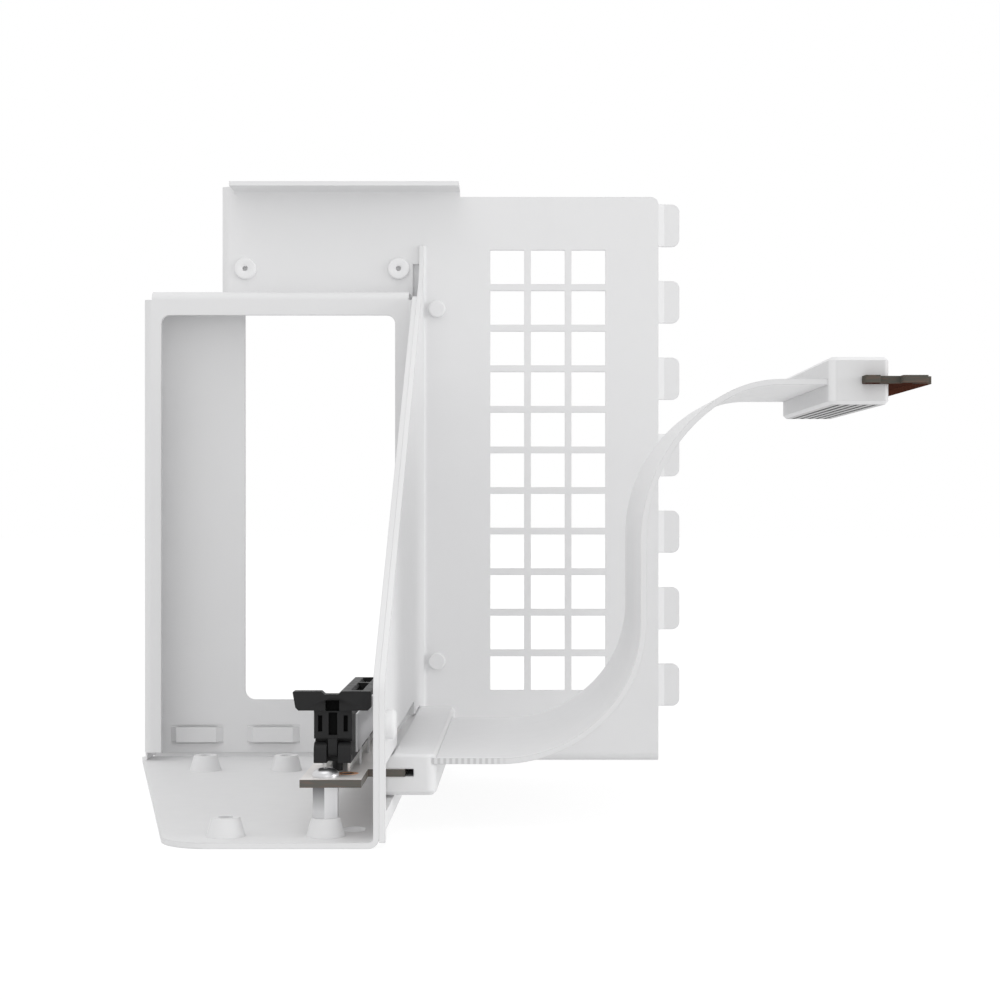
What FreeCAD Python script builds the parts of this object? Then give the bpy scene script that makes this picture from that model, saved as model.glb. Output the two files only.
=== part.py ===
import FreeCAD, Part
import math
import os

# Vertical mount for a graphics card in a computer case.
# Two folded sheets meet back to back in a triangular gusset. One carries the vented
# rear plate that closes the case's expansion slots, the other carries the tray and the
# frame round the card. A flat riser cable joins the card's slot to the main board.
# Millimetres. X runs right, Y away from the viewer, Z up. The origin lies on the base
# plane, straight under the middle of the card slot.

V = FreeCAD.Vector

# Sheet metal and fits
SHEET = 1.2
BEND = 1.0
FIT = 0.1
RUNNING = 0.05
HOUSING_FIT = 0.3

# Expansion slots
SLOT_PITCH = 20.32
CARD_SLOTS = 3
WINDOW_SLOTS = 2

# Rear plate
PLATE_RIGHT = 73.5
PLATE_TOP = 149.5
EXTENSION_RISE = 2.7
EXTENSION_SIDE = 6.36
EXTENSION_RIGHT = 20.9
EXTENSION_LAP = 0.6
RETURN_DEPTH = 10.0
RETURN_SETBACK = 3.5
CASE_FLANGE_DEPTH = 11.4
CASE_SCREW_R = 2.0
CASE_SCREW_DROP = 3.8
CASE_SCREW_BACK = 6.4
TAB_HEIGHT = 11.2
TAB_REACH = 5.6
TAB_OFFSET = 0.8
TAB_DROP = 7.5
TAB_LOWEST = 8.0
GRILLE_SIDE = 17.6
GRILLE_DROP = 14.1
GRILLE_FOOT = 16.0
GRILLE_HOLE = 9.0
GRILLE_PITCH = 10.77
GRILLE_COLUMNS = 3

# Gusset
GUSSET_X = 10.1
GUSSET_SLOPE = 0.69
GUSSET_RISE = 6.2
GUSSET_TIP_RISE = 6.8
GUSSET_LOW = 3.4
GUSSET_TOE = 3.4
GUSSET_TOE_LOW = 1.2
SLIT_RISE = 2.0
SLIT_WIDTH = 1.7
GATE_STRIP = 2.2
GATE_SIDE = 1.8
GATE_CLEAR = 0.6
GATE_LIFT = 3.7
GATE_LIFT_BACK = 14.0
GATE_R = 1.5

# Card frame
FRAME_DEPTH = 10.0
FRAME_TOP = 123.5
FRAME_LOW = 3.3
FRAME_BAND = 6.2
FRAME_SIDE_BAND = 4.6
FRAME_INNER_BAND = 5.74
OPENING_R = 2.3
TRAY_LIP = 2.2
TRAY_FRONT_MARGIN = 9.0
TRAY_REAR_MARGIN = 28.5
TRAY_FRONT_LEFT = -32.9
TRAY_CORNER_R = 11.0

# Bosses on the tray
BOSS_X = -1.4
BOSS_AHEAD = 2.2
BOSS_BEHIND = 10.8
BOSS_FOOT_R = 4.0
BOSS_TOP_R = 2.9
BOSS_HEIGHT = 3.8
CABLE_SLOT_X = 3.6
CABLE_SLOT_BACK = 6.3
CABLE_SLOT_R = 2.3
CABLE_SLOT_LENGTH = 2.4

# Window panel and card ledge
PANEL_LOW = 2.0
PANEL_LAP = 1.1
PANEL_SIDE = 9.0
WINDOW_LOW = 16.1
WINDOW_R = 2.7
EAR_RISE = 6.1
EAR_SIDE = 0.3
STRAP_LOW = 4.9
STRAP_HEIGHT = 4.0
STRAP_WIDTH = 13.8
STRAP_SHIFT = 2.6
STRAP_LIFT = 1.6
STRAP_GAP = 0.4
CARD_TAB_SPACE = 1.4
LEDGE_DEPTH = 12.0
LEDGE_EDGE = 6.0
LEDGE_SCREW_R = 1.6

# Rivets and screws
RIVET_RISE = 7.6
RIVET_SIDE = 5.5
RIVET_HEAD_R = 2.9
RIVET_HEAD = 0.9
HEAD_SLOPE = 0.45
RIVET_R = 1.6
STUD_SIDE = 4.7
STUD_LOW_Z = 26.4
STUD_RISE = 1.3
STUD_HEAD_R = 2.25
STUD_HEAD = 1.3
TAIL = 1.4
M3_R = 1.5
CLAMP_EDGE = 3.1
CLAMP_SCREW_RISE = 4.5
CLAMP_HEAD_R = 3.0
CLAMP_HEAD = 2.1
CLAMP_NUT_R = 2.2

# Riser board
BOARD = 1.6
BOARD_LEFT = -6.2
BOARD_STEP_X = 6.2
BOARD_RIGHT = 13.9
BOARD_FRONT_MARGIN = 4.8
BOARD_REAR_MARGIN = 4.5
BOARD_STEP_BACK = 9.6
BOARD_ARM = 74.7
STANDOFF_LENGTH = 6.6
STANDOFF_FLATS = 5.0
STANDOFF_STUD = 2.6
STANDOFF_BORE = 4.0
BOARD_SCREW_LENGTH = 4.6
BOARD_HEAD_R = 2.75
BOARD_HEAD = 2.0
RING_X = 2.6
RING_BACK = 2.9
RING_R = 2.2
RING_HOLE_R = 1.3
RING = 0.06

# Card slot
SLOT_LENGTH = 89.0
SLOT_WIDTH = 7.5
SLOT_HEIGHT = 9.5
SLOT_STAND = 2.9
GROOVE_WIDTH = 1.8
GROOVE_DEPTH = 8.0
GROOVE_END = 2.0
GROOVE_LEAD = 0.8
KEY_OFFSET = 12.0
KEY_WIDTH = 1.9
SHIELD = 0.4
SHIELD_STAND = 0.9
SHIELD_DROP = 0.7
SHIELD_END = 8.0
SHIELD_FEET = 4
SHIELD_FOOT = 1.6
CONTACT_INSET = 6.0
CONTACT_PITCH = 2.0
CONTACT_ROW_X = 2.4
CONTACT_WIDTH = 0.5
CONTACT_THICK = 0.5
PEG_R = 1.1
PEG_BACK = 8.0

# Latch
PIVOT_AHEAD = 1.5
PIVOT_RISE = 2.2
PIVOT_R = 0.75
CHEEK_INNER = 1.15
CHEEK_R = 1.9
LATCH_THICK = 2.8
LATCH_BODY_THICK = 1.5
LATCH_WIDTH = 7.7
LATCH_TONGUE = 1.9
LATCH_GROOVE = 1.75
LATCH_SLOT = 0.85
LATCH_SLOT_X = 2.6
LATCH_CLEAR = 0.3
LATCH_BODY_RISE = 2.6
WING_STAND = 1.1
WING_HEIGHT = 3.9
WING_LEFT = -8.1
WING_RIGHT = 7.8
HOOK_HEIGHT = 3.2
HOOK_REACH = 2.0
HOOK_WIDTH = 1.7

# Riser cable and its two housings
NEAR_WIDTH = 8.8
NEAR_SHOULDER = 1.2
NEAR_LENGTH = 100.4
NEAR_BELOW = 3.95
NEAR_ABOVE = 3.1
SLIT_SPARE = 1.8
CABLE = 1.2
CABLE_WIDTH = 81.0
CABLE_ABOVE = 0.95
CABLE_SIDE = 0.4
CABLE_SEAT = 3.6
CABLE_RUN = 13.4
CABLE_RISE = 17.0
CABLE_LEAD = 9.6
LOWER_R1 = 30.6
LOWER_TURN = 48.4
LOWER_R2 = 28.15
UPPER_R1 = 35.3
UPPER_TURN = 56.3
UPPER_R2 = 23.7
FAR_WIDTH = 12.5
FAR_SIDE = 2.0
FAR_LENGTH = 84.3
FAR_BELOW = 4.2
FAR_HEIGHT = 9.9
HOUSING_R = 2.0
HOUSING_EDGE = 0.7
HOUSING_INNER_R = 1.1
HOUSING_WALL = 1.4
FOOT_GROOVES = 5
FOOT_GROOVE = 0.9
FOOT_GROOVE_PITCH = 1.9
FOOT_GROOVE_DEPTH = 0.5

# Edge board of the far housing
EDGE_ABOVE = 0.05
EDGE_INSET = 4.2
EDGE_TAB_INSET = 6.9
EDGE_TAB = 3.1
EDGE_HOOK_GAP = 2.1
EDGE_HOOK = 5.3
EDGE_REACH = 8.9
EDGE_TIP_REACH = 5.0
EDGE_NECK_REACH = 1.5
EDGE_REAR_INSET = 0.5
HOOK_GAP = 2.2
HOOK_GAP_DEPTH = 4.2
EDGE_KEY_OFFSET = 13.6
EDGE_KEY_DEPTH = 7.0
PAD_LENGTH = 4.2
PAD_WIDTH = 1.4
PAD_PITCH = 2.0
PAD_EDGE = 0.5
PAD = 0.05

# Depths, worked out from the slot's length
BEND_OUT = BEND + SHEET
SLOT_HALF = SLOT_LENGTH / 2
PIVOT_Y = -SLOT_HALF - PIVOT_AHEAD
BOSS_FRONT_Y = -SLOT_HALF - BOSS_AHEAD
BOSS_REAR_Y = SLOT_HALF + BOSS_BEHIND
CABLE_SLOT_Y = -SLOT_HALF + CABLE_SLOT_BACK
RING_Y = -SLOT_HALF + RING_BACK
BOARD_FRONT = BOSS_FRONT_Y - BOARD_FRONT_MARGIN
BOARD_REAR = BOSS_REAR_Y + BOARD_REAR_MARGIN
BOARD_STEP_FRONT = -SLOT_HALF + BOARD_STEP_BACK
BOARD_STEP_REAR = BOARD_STEP_FRONT + BOARD_ARM
TRAY_FRONT = BOSS_FRONT_Y - TRAY_FRONT_MARGIN
CLAMP_SCREW_Y = TRAY_FRONT + CLAMP_EDGE
GATE_FRONT = TRAY_FRONT + GATE_STRIP
PLATE_Y = BOSS_REAR_Y + TRAY_REAR_MARGIN
PLATE_BACK = PLATE_Y + SHEET
FRAME_Y = PLATE_Y - FRAME_DEPTH
TRAY_REAR = PLATE_Y - FIT
NEAR_FRONT = BOARD_STEP_FRONT + HOUSING_FIT
NEAR_REAR = NEAR_FRONT + NEAR_LENGTH
CABLE_FRONT = NEAR_FRONT + CABLE_SIDE
FAR_FRONT = CABLE_FRONT - FAR_SIDE
FAR_REAR = FAR_FRONT + FAR_LENGTH
EDGE_TIP = FAR_FRONT - EDGE_TIP_REACH
EDGE_NECK = FAR_FRONT - EDGE_NECK_REACH
EDGE_REAR = FAR_REAR - EDGE_REAR_INSET
EDGE_KEY_Y = EDGE_REAR - EDGE_KEY_OFFSET

# Widths, worked out from the gusset's middle plane
LAYER_LEFT = GUSSET_X - SHEET
LAYER_RIGHT = GUSSET_X + SHEET
OPENING_RIGHT = GUSSET_X - FRAME_INNER_BAND
OPENING_LEFT = OPENING_RIGHT - CARD_SLOTS * SLOT_PITCH
WINDOW_LEFT = OPENING_RIGHT - WINDOW_SLOTS * SLOT_PITCH
FRAME_LEFT = OPENING_LEFT - FRAME_SIDE_BAND
TRAY_REAR_LEFT = FRAME_LEFT - TRAY_LIP
PANEL_RIGHT = GUSSET_X + PANEL_SIDE
STUD_X = GUSSET_X + STUD_SIDE
RIVET_X = GUSSET_X - RIVET_SIDE
PLATE_LEFT = RIVET_X - WINDOW_SLOTS * SLOT_PITCH - EXTENSION_SIDE
GRILLE_LEFT = LAYER_RIGHT + GRILLE_SIDE
NEAR_LEFT = LAYER_LEFT + HOUSING_FIT
NEAR_SHOULDER_X = LAYER_RIGHT + HOUSING_FIT
NEAR_RIGHT = NEAR_SHOULDER_X + NEAR_WIDTH

# Heights, worked out from the tray and from the frame's top
BOSS_Z = SHEET + BOSS_HEIGHT
BOARD_Z = BOSS_Z + STANDOFF_LENGTH
BOARD_TOP = BOARD_Z + BOARD
SLOT_LOW = BOARD_TOP + SLOT_STAND
SLOT_TOP = SLOT_LOW + SLOT_HEIGHT
SHIELD_LOW = SLOT_LOW + SHIELD_STAND
SHIELD_TOP = SLOT_TOP - SHIELD_DROP
PIVOT_Z = SLOT_LOW + PIVOT_RISE
LATCH_BODY_LOW = PIVOT_Z + LATCH_BODY_RISE
WING_LOW = SLOT_TOP + WING_STAND
WING_TOP = WING_LOW + WING_HEIGHT
NEAR_LOW = BOARD_Z - NEAR_BELOW
NEAR_TOP = BOARD_TOP + NEAR_ABOVE
GATE_LOW = NEAR_LOW - GATE_CLEAR
GATE_SILL = NEAR_TOP + HOUSING_FIT
GATE_TOP = NEAR_TOP + GATE_LIFT
CLAMP_SCREW_Z = GATE_TOP + CLAMP_SCREW_RISE
OPENING_TOP = FRAME_TOP - FRAME_BAND
PANEL_TOP = OPENING_TOP + PANEL_LAP
EAR_TOP = PANEL_TOP + EAR_RISE
STUD_HIGH_Z = PANEL_TOP + STUD_RISE
LEDGE_Z = PANEL_TOP + CARD_TAB_SPACE
GUSSET_TOP = FRAME_TOP + GUSSET_RISE
GUSSET_TIP = GUSSET_TOP + GUSSET_TIP_RISE
SLIT_TOP = GUSSET_TOP + SLIT_RISE
EXTENSION_TOP = PLATE_TOP + EXTENSION_RISE
EXTENSION_BOTTOM = FRAME_TOP - EXTENSION_LAP
RIVET_Z = EXTENSION_BOTTOM + RIVET_RISE
GRILLE_TOP = PLATE_TOP - GRILLE_DROP
GRILLE_ROWS = int((GRILLE_TOP - GRILLE_FOOT) / GRILLE_PITCH)
REAR_SLOTS = 1 + int((PLATE_TOP - TAB_DROP - TAB_LOWEST) / SLOT_PITCH)

# The cable's climb and reach, worked out from its bends
LOWER_SIN = math.sin(math.radians(LOWER_TURN))
LOWER_COS = math.cos(math.radians(LOWER_TURN))
UPPER_SIN = math.sin(math.radians(UPPER_TURN))
UPPER_COS = math.cos(math.radians(UPPER_TURN))
LOWER_CLIMB = LOWER_R1 * (1 - LOWER_COS) + LOWER_R2 * LOWER_COS
UPPER_CLIMB = UPPER_R1 * UPPER_SIN + UPPER_R2 * (1 - UPPER_SIN)
LOWER_REACH = LOWER_R1 * LOWER_SIN + LOWER_R2 * (1 - LOWER_SIN)
UPPER_REACH = UPPER_R1 * (1 - UPPER_COS) + UPPER_R2 * UPPER_COS
CABLE_LOW = BOARD_TOP + CABLE_ABOVE
CABLE_HIGH = CABLE_LOW + LOWER_CLIMB + CABLE_RISE + UPPER_CLIMB
FAR_LEFT = NEAR_RIGHT + CABLE_RUN + LOWER_REACH + UPPER_REACH + CABLE_LEAD
FAR_RIGHT = FAR_LEFT + FAR_WIDTH
FAR_LOW = CABLE_HIGH - FAR_BELOW
FAR_TOP = FAR_LOW + FAR_HEIGHT
EDGE_Z = CABLE_HIGH + EDGE_ABOVE
EDGE_TOP = EDGE_Z + BOARD
EDGE_LEFT = FAR_LEFT + EDGE_INSET
EDGE_TAB_LEFT = FAR_LEFT + EDGE_TAB_INSET
EDGE_TAB_RIGHT = EDGE_TAB_LEFT + EDGE_TAB
EDGE_HOOK_LEFT = FAR_RIGHT + EDGE_HOOK_GAP
EDGE_HOOK_RIGHT = EDGE_HOOK_LEFT + EDGE_HOOK
EDGE_RIGHT = FAR_RIGHT + EDGE_REACH

PLANES = {
    "xy": (lambda u, v, w: V(u, v, w), V(0, 0, 1)),
    "xz": (lambda u, v, w: V(u, w, v), V(0, 1, 0)),
    "yz": (lambda u, v, w: V(w, u, v), V(1, 0, 0)),
}


def corner_points(before, corner, after):
    """Entry, middle and exit of the arc that rounds one corner of an outline."""
    u, v, radius = corner
    back = V(before[0] - u, before[1] - v, 0).normalize()
    ahead = V(after[0] - u, after[1] - v, 0).normalize()
    half = back.getAngle(ahead) / 2
    reach = radius / math.tan(half)
    inward = (back + ahead).normalize()
    point = V(u, v, 0)
    middle = point + inward * (radius / math.sin(half) - radius)
    return point + back * reach, middle, point + ahead * reach


def outline(corners, place):
    """Closed wire through corners (u, v, radius), each rounded to its radius."""
    edges = []
    entries = []
    exits = []
    count = len(corners)
    for i in range(count):
        corner = corners[i]
        entry = V(corner[0], corner[1], 0)
        leave = entry
        if corner[2] > 0:
            entry, middle, leave = corner_points(corners[i - 1], corner, corners[(i + 1) % count])
            arc = Part.Arc(place(entry), place(middle), place(leave))
            edges.append((i, arc.toShape()))
        entries.append(entry)
        exits.append(leave)
    for i in range(count):
        start = exits[i]
        end = entries[(i + 1) % count]
        if start.distanceToPoint(end) > 1e-6:
            edges.append((i + 0.5, Part.LineSegment(place(start), place(end)).toShape()))
    edges.sort(key=lambda item: item[0])
    return Part.Wire([edge for order, edge in edges])


def prism(plane, corners, low, high):
    """Solid with the given outline in one plane, from low to high across it."""
    to_space, normal = PLANES[plane]
    wire = outline(corners, lambda p: to_space(p.x, p.y, low))
    return Part.Face(wire).extrude(normal * (high - low))


def box(x0, x1, y0, y1, z0, z1):
    return Part.makeBox(x1 - x0, y1 - y0, z1 - z0, V(x0, y0, z0))


def rod(radius, start, axis, length):
    return Part.makeCylinder(radius, length, start, axis)


def angle_corners(u, v, leg_u, leg_v):
    """Section of a bent sheet: outer corner at (u, v), with signed legs."""
    su = math.copysign(SHEET, leg_u)
    sv = math.copysign(SHEET, leg_v)
    return [
        (u, v, BEND_OUT),
        (u + leg_u, v, 0),
        (u + leg_u, v + sv, 0),
        (u + su, v + sv, BEND),
        (u + su, v + leg_v, 0),
        (u, v + leg_v, 0),
    ]


def join(shapes):
    """One clean solid from touching or overlapping pieces."""
    whole = shapes[0].multiFuse(shapes[1:])
    return whole.removeSplitter()


def level_edges(shape, heights):
    """Edges of a shape that lie flat at one of the given heights."""
    edges = []
    for edge in shape.Edges:
        bounds = edge.BoundBox
        for z in heights:
            if abs(bounds.ZMin - z) < 1e-4 and abs(bounds.ZMax - z) < 1e-4:
                edges.append(edge)
    return edges


def bevelled(shape, size, low, high):
    """Chamfer round the top and the bottom of an upright block."""
    return shape.makeChamfer(size, level_edges(shape, (low, high)))


def gusset_corners(rear, low, toe_low):
    """Side outline of a gusset layer, as (y, z, radius)."""
    slope_front = GUSSET_TOP - GUSSET_SLOPE * (PLATE_Y - TRAY_FRONT)
    knee = 1.2
    corners = [
        (rear, low, 0),
        (rear, GUSSET_TIP, 0),
        (PLATE_Y - knee, GUSSET_TOP - GUSSET_SLOPE * knee, 9.0),
        (TRAY_FRONT, slope_front, 4.0),
        (TRAY_FRONT, toe_low, 0),
    ]
    if toe_low < low:
        corners.append((TRAY_FRONT + GUSSET_TOE, toe_low, 0))
        corners.append((TRAY_FRONT + GUSSET_TOE, low, 0))
    return corners


def gate_cut():
    """Opening through both gusset layers for the riser board and the near housing."""
    rear = NEAR_REAR + GATE_CLEAR
    lift_front = BOARD_STEP_FRONT + GATE_LIFT_BACK
    lift_rear = BOARD_STEP_REAR + GATE_SIDE
    corners = [
        (GATE_FRONT, GATE_LOW, GATE_R),
        (rear, GATE_LOW, GATE_R),
        (rear, GATE_SILL, 0),
        (lift_rear, GATE_SILL, 0),
        (lift_rear, GATE_TOP, GATE_R),
        (lift_front, GATE_TOP, GATE_R),
        (lift_front, GATE_SILL, 0),
        (GATE_FRONT, GATE_SILL, GATE_R),
    ]
    return prism("yz", corners, LAYER_LEFT - 1, LAYER_RIGHT + 1)


def clamp_hole(radius):
    start = V(LAYER_LEFT - 1, CLAMP_SCREW_Y, CLAMP_SCREW_Z)
    return rod(radius, start, V(1, 0, 0), 2 * SHEET + 2)


def hole_y(x, z, radius):
    """Cutter along Y through the sheets at the rear plate."""
    return rod(radius, V(x, PLATE_Y - 1, z), V(0, 1, 0), 2 * SHEET + 2)


def rivet_places():
    return [(RIVET_X, RIVET_Z), (RIVET_X - WINDOW_SLOTS * SLOT_PITCH, RIVET_Z)]


def stud_places():
    return [(STUD_X, STUD_LOW_Z), (STUD_X, STUD_HIGH_Z)]


def case_screw_heights():
    top = EXTENSION_TOP - CASE_SCREW_DROP
    return [top, top - SLOT_PITCH]


def bracket_tab(middle_z):
    """Foot of one expansion-slot cover, set back by a small joggle."""
    root = PLATE_RIGHT - 1
    tip = PLATE_RIGHT + TAB_REACH
    bend = PLATE_RIGHT + 2 * TAB_OFFSET
    section = [
        (root, PLATE_Y, 0),
        (PLATE_RIGHT, PLATE_Y, 0),
        (bend, PLATE_Y + TAB_OFFSET, 0),
        (tip, PLATE_Y + TAB_OFFSET, 0),
        (tip, PLATE_BACK + TAB_OFFSET, 0),
        (bend, PLATE_BACK + TAB_OFFSET, 0),
        (PLATE_RIGHT, PLATE_BACK, 0),
        (root, PLATE_BACK, 0),
    ]
    low = middle_z - TAB_HEIGHT / 2
    high = middle_z + TAB_HEIGHT / 2
    face = [(root, low, 0), (tip, low, 2.0), (tip, high, 2.0), (root, high, 0)]
    strip = prism("xy", section, low, high)
    return strip.common(prism("xz", face, PLATE_Y - 1, PLATE_BACK + 2))


def grille_cuts():
    cuts = []
    for column in range(GRILLE_COLUMNS):
        for row in range(GRILLE_ROWS):
            x = GRILLE_LEFT + column * GRILLE_PITCH
            z = GRILLE_TOP - GRILLE_HOLE - row * GRILLE_PITCH
            cuts.append(box(x, x + GRILLE_HOLE, PLATE_Y - 1, PLATE_BACK + 1, z, z + GRILLE_HOLE))
    return cuts


def rear_plate():
    """Vented plate with its flanges, slot feet and gusset, folded from one sheet."""
    bend_x = GUSSET_X + BEND_OUT
    fold_top = EXTENSION_TOP - BEND_OUT
    slit_left = GUSSET_X - SLIT_WIDTH
    return_left = PLATE_LEFT + RETURN_SETBACK
    face = prism("xz", [
        (bend_x, BEND_OUT, 0),
        (PLATE_RIGHT, BEND_OUT, 0),
        (PLATE_RIGHT, PLATE_TOP, 2.0),
        (EXTENSION_RIGHT, PLATE_TOP, 0),
        (EXTENSION_RIGHT, fold_top, 0),
        (return_left, fold_top, 0),
        (return_left, EXTENSION_TOP, 0),
        (PLATE_LEFT + BEND_OUT, EXTENSION_TOP, 0),
        (PLATE_LEFT + BEND_OUT, EXTENSION_BOTTOM, 0),
        (slit_left, EXTENSION_BOTTOM, 0),
        (slit_left, SLIT_TOP, 0),
        (bend_x, SLIT_TOP, 0),
    ], PLATE_Y, PLATE_BACK)
    top = prism("yz", angle_corners(PLATE_BACK, EXTENSION_TOP, -SHEET - RETURN_DEPTH, -BEND_OUT),
                return_left, EXTENSION_RIGHT)
    bottom = prism("yz", angle_corners(PLATE_Y, 0, RETURN_DEPTH, BEND_OUT), bend_x, PLATE_RIGHT)
    side = prism("xy", angle_corners(PLATE_LEFT, PLATE_Y, BEND_OUT, CASE_FLANGE_DEPTH),
                 EXTENSION_BOTTOM, EXTENSION_TOP)
    fold = prism("xy", angle_corners(GUSSET_X, PLATE_BACK, BEND_OUT, -BEND_OUT), GUSSET_LOW, GUSSET_TIP)
    layer = prism("yz", gusset_corners(PLATE_BACK - BEND_OUT, GUSSET_LOW, GUSSET_TOE_LOW),
                  GUSSET_X, LAYER_RIGHT)
    tabs = [bracket_tab(PLATE_TOP - TAB_DROP - i * SLOT_PITCH) for i in range(REAR_SLOTS)]
    cuts = grille_cuts()
    cuts.append(gate_cut())
    cuts.append(clamp_hole(M3_R))
    for x, z in rivet_places() + stud_places():
        cuts.append(hole_y(x, z, RIVET_R))
    for z in case_screw_heights():
        start = V(PLATE_LEFT - 1, PLATE_Y + CASE_SCREW_BACK, z)
        cuts.append(rod(CASE_SCREW_R, start, V(1, 0, 0), SHEET + 2))
    return join([face, top, bottom, side, fold, layer] + tabs).cut(cuts)


def boss_places():
    """The three rear bosses and the two front ones, a slot pitch apart."""
    rear = [(BOSS_X - i * SLOT_PITCH, BOSS_REAR_Y) for i in range(CARD_SLOTS)]
    front = [(BOSS_X - i * SLOT_PITCH, BOSS_FRONT_Y) for i in range(CARD_SLOTS - 1)]
    return rear + front


def boss(x, y):
    return Part.makeCone(BOSS_FOOT_R, BOSS_TOP_R, BOSS_HEIGHT, V(x, y, SHEET), V(0, 0, 1))


def boss_hollow(x, y):
    """Pressed underside of a boss, drawn in to its screw hole."""
    dent = Part.makeCone(BOSS_FOOT_R - SHEET, M3_R, BOSS_HEIGHT, V(x, y, 0), V(0, 0, 1))
    return dent.fuse(rod(M3_R, V(x, y, 0), V(0, 0, 1), BOSS_Z + 1))


def tray_sheet():
    """Floor of the mount, tapered towards its front left corner."""
    edge = GUSSET_X - BEND_OUT
    flat = prism("xy", [
        (edge, TRAY_FRONT, 0),
        (edge, TRAY_REAR, 1.0),
        (TRAY_REAR_LEFT, TRAY_REAR, 1.5),
        (TRAY_FRONT_LEFT, TRAY_FRONT, TRAY_CORNER_R),
    ], 0, SHEET)
    fold = prism("xz", angle_corners(GUSSET_X, 0, -BEND_OUT, BEND_OUT), TRAY_FRONT, FRAME_Y - 2)
    bosses = [boss(x, y) for x, y in boss_places()]
    slot = join([
        rod(CABLE_SLOT_R, V(CABLE_SLOT_X, CABLE_SLOT_Y - CABLE_SLOT_LENGTH / 2, -1), V(0, 0, 1), SHEET + 2),
        rod(CABLE_SLOT_R, V(CABLE_SLOT_X, CABLE_SLOT_Y + CABLE_SLOT_LENGTH / 2, -1), V(0, 0, 1), SHEET + 2),
        box(CABLE_SLOT_X - CABLE_SLOT_R, CABLE_SLOT_X + CABLE_SLOT_R,
            CABLE_SLOT_Y - CABLE_SLOT_LENGTH / 2, CABLE_SLOT_Y + CABLE_SLOT_LENGTH / 2, -1, SHEET + 1),
    ])
    cuts = [boss_hollow(x, y) for x, y in boss_places()]
    return join([flat, fold] + bosses).cut(cuts + [slot])


def card_frame():
    """Tray, gusset layer and the frame round the card, folded from one sheet."""
    left = FRAME_LEFT + BEND_OUT
    right = GUSSET_X - BEND_OUT
    top = FRAME_TOP - BEND_OUT
    face = prism("xz", [
        (left, FRAME_LOW, 0),
        (OPENING_LEFT, FRAME_LOW, 0),
        (OPENING_LEFT, OPENING_TOP, OPENING_R),
        (OPENING_RIGHT, OPENING_TOP, OPENING_R),
        (OPENING_RIGHT, FRAME_LOW, 0),
        (right, FRAME_LOW, 0),
        (right, top, 0),
        (left, top, 0),
    ], FRAME_Y, FRAME_Y + SHEET)
    side = prism("xy", angle_corners(FRAME_LEFT, FRAME_Y, BEND_OUT, FRAME_DEPTH + SHEET), FRAME_LOW, top)
    roof = prism("yz", angle_corners(FRAME_Y, FRAME_TOP, FRAME_DEPTH - FIT, -BEND_OUT), left, right)
    corner = prism("xy", angle_corners(GUSSET_X, FRAME_Y + SHEET, -BEND_OUT, -BEND_OUT), FRAME_LOW, top)
    layer = prism("yz", gusset_corners(PLATE_Y, BEND_OUT, BEND_OUT), LAYER_LEFT, GUSSET_X)
    behind = box(LAYER_LEFT - 1, GUSSET_X + 1, FRAME_Y + SHEET - BEND_OUT, PLATE_BACK, -1, GUSSET_TIP + 1)
    layer = layer.cut(behind)
    relief = box(LAYER_LEFT - 1, GUSSET_X + 1, FRAME_Y - 2, PLATE_Y, -1, FRAME_LOW)
    layer = layer.cut(relief)
    return join([face, side, roof, corner, layer, tray_sheet()]).cut([gate_cut(), clamp_hole(CLAMP_NUT_R)])


def strap_middles():
    """Middle of each strap that takes the foot of a card's bracket."""
    first = OPENING_RIGHT - SLOT_PITCH / 2 - STRAP_SHIFT
    return [first - i * SLOT_PITCH for i in range(CARD_SLOTS)]


def strap(middle):
    """Strip lanced out of the panel towards the card."""
    x0 = middle - STRAP_WIDTH / 2
    x1 = middle + STRAP_WIDTH / 2
    front = PLATE_BACK - STRAP_LIFT
    section = [
        (x0, PLATE_BACK, 0),
        (x0 + STRAP_LIFT, front, 0),
        (x1 - STRAP_LIFT, front, 0),
        (x1, PLATE_BACK, 0),
        (x1, PLATE_BACK + SHEET, 0),
        (x1 - STRAP_LIFT - 0.5, front + SHEET, 0),
        (x0 + STRAP_LIFT + 0.5, front + SHEET, 0),
        (x0, PLATE_BACK + SHEET, 0),
    ]
    return prism("xy", section, STRAP_LOW, STRAP_LOW + STRAP_HEIGHT)


def window_panel():
    """Sheet behind the frame, with the window for the card's sockets."""
    ear_left = GUSSET_X + EAR_SIDE
    sheet = prism("xz", [
        (FRAME_LEFT, PANEL_LOW, 1.0),
        (GUSSET_X, PANEL_LOW, 0),
        (GUSSET_X, PANEL_LOW + BEND_OUT, 0),
        (PANEL_RIGHT, PANEL_LOW + BEND_OUT, 1.0),
        (PANEL_RIGHT, EAR_TOP, 2.0),
        (ear_left, EAR_TOP, 1.0),
        (ear_left, PANEL_TOP, 0),
        (OPENING_RIGHT, PANEL_TOP, 0),
        (OPENING_RIGHT, WINDOW_LOW, WINDOW_R),
        (WINDOW_LEFT, WINDOW_LOW, WINDOW_R),
        (WINDOW_LEFT, PANEL_TOP, 0),
        (FRAME_LEFT, PANEL_TOP, 1.0),
    ], PLATE_BACK, PLATE_BACK + SHEET)
    cuts = []
    for middle in strap_middles():
        cuts.append(box(middle - STRAP_WIDTH / 2, middle + STRAP_WIDTH / 2, PLATE_BACK - 1,
                        PLATE_BACK + SHEET + 1, STRAP_LOW - STRAP_GAP, STRAP_LOW + STRAP_HEIGHT + STRAP_GAP))
    for x, z in stud_places():
        cuts.append(hole_y(x, z, RIVET_R))
    straps = [strap(middle) for middle in strap_middles()]
    return join([sheet.cut(cuts)] + straps)


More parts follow.
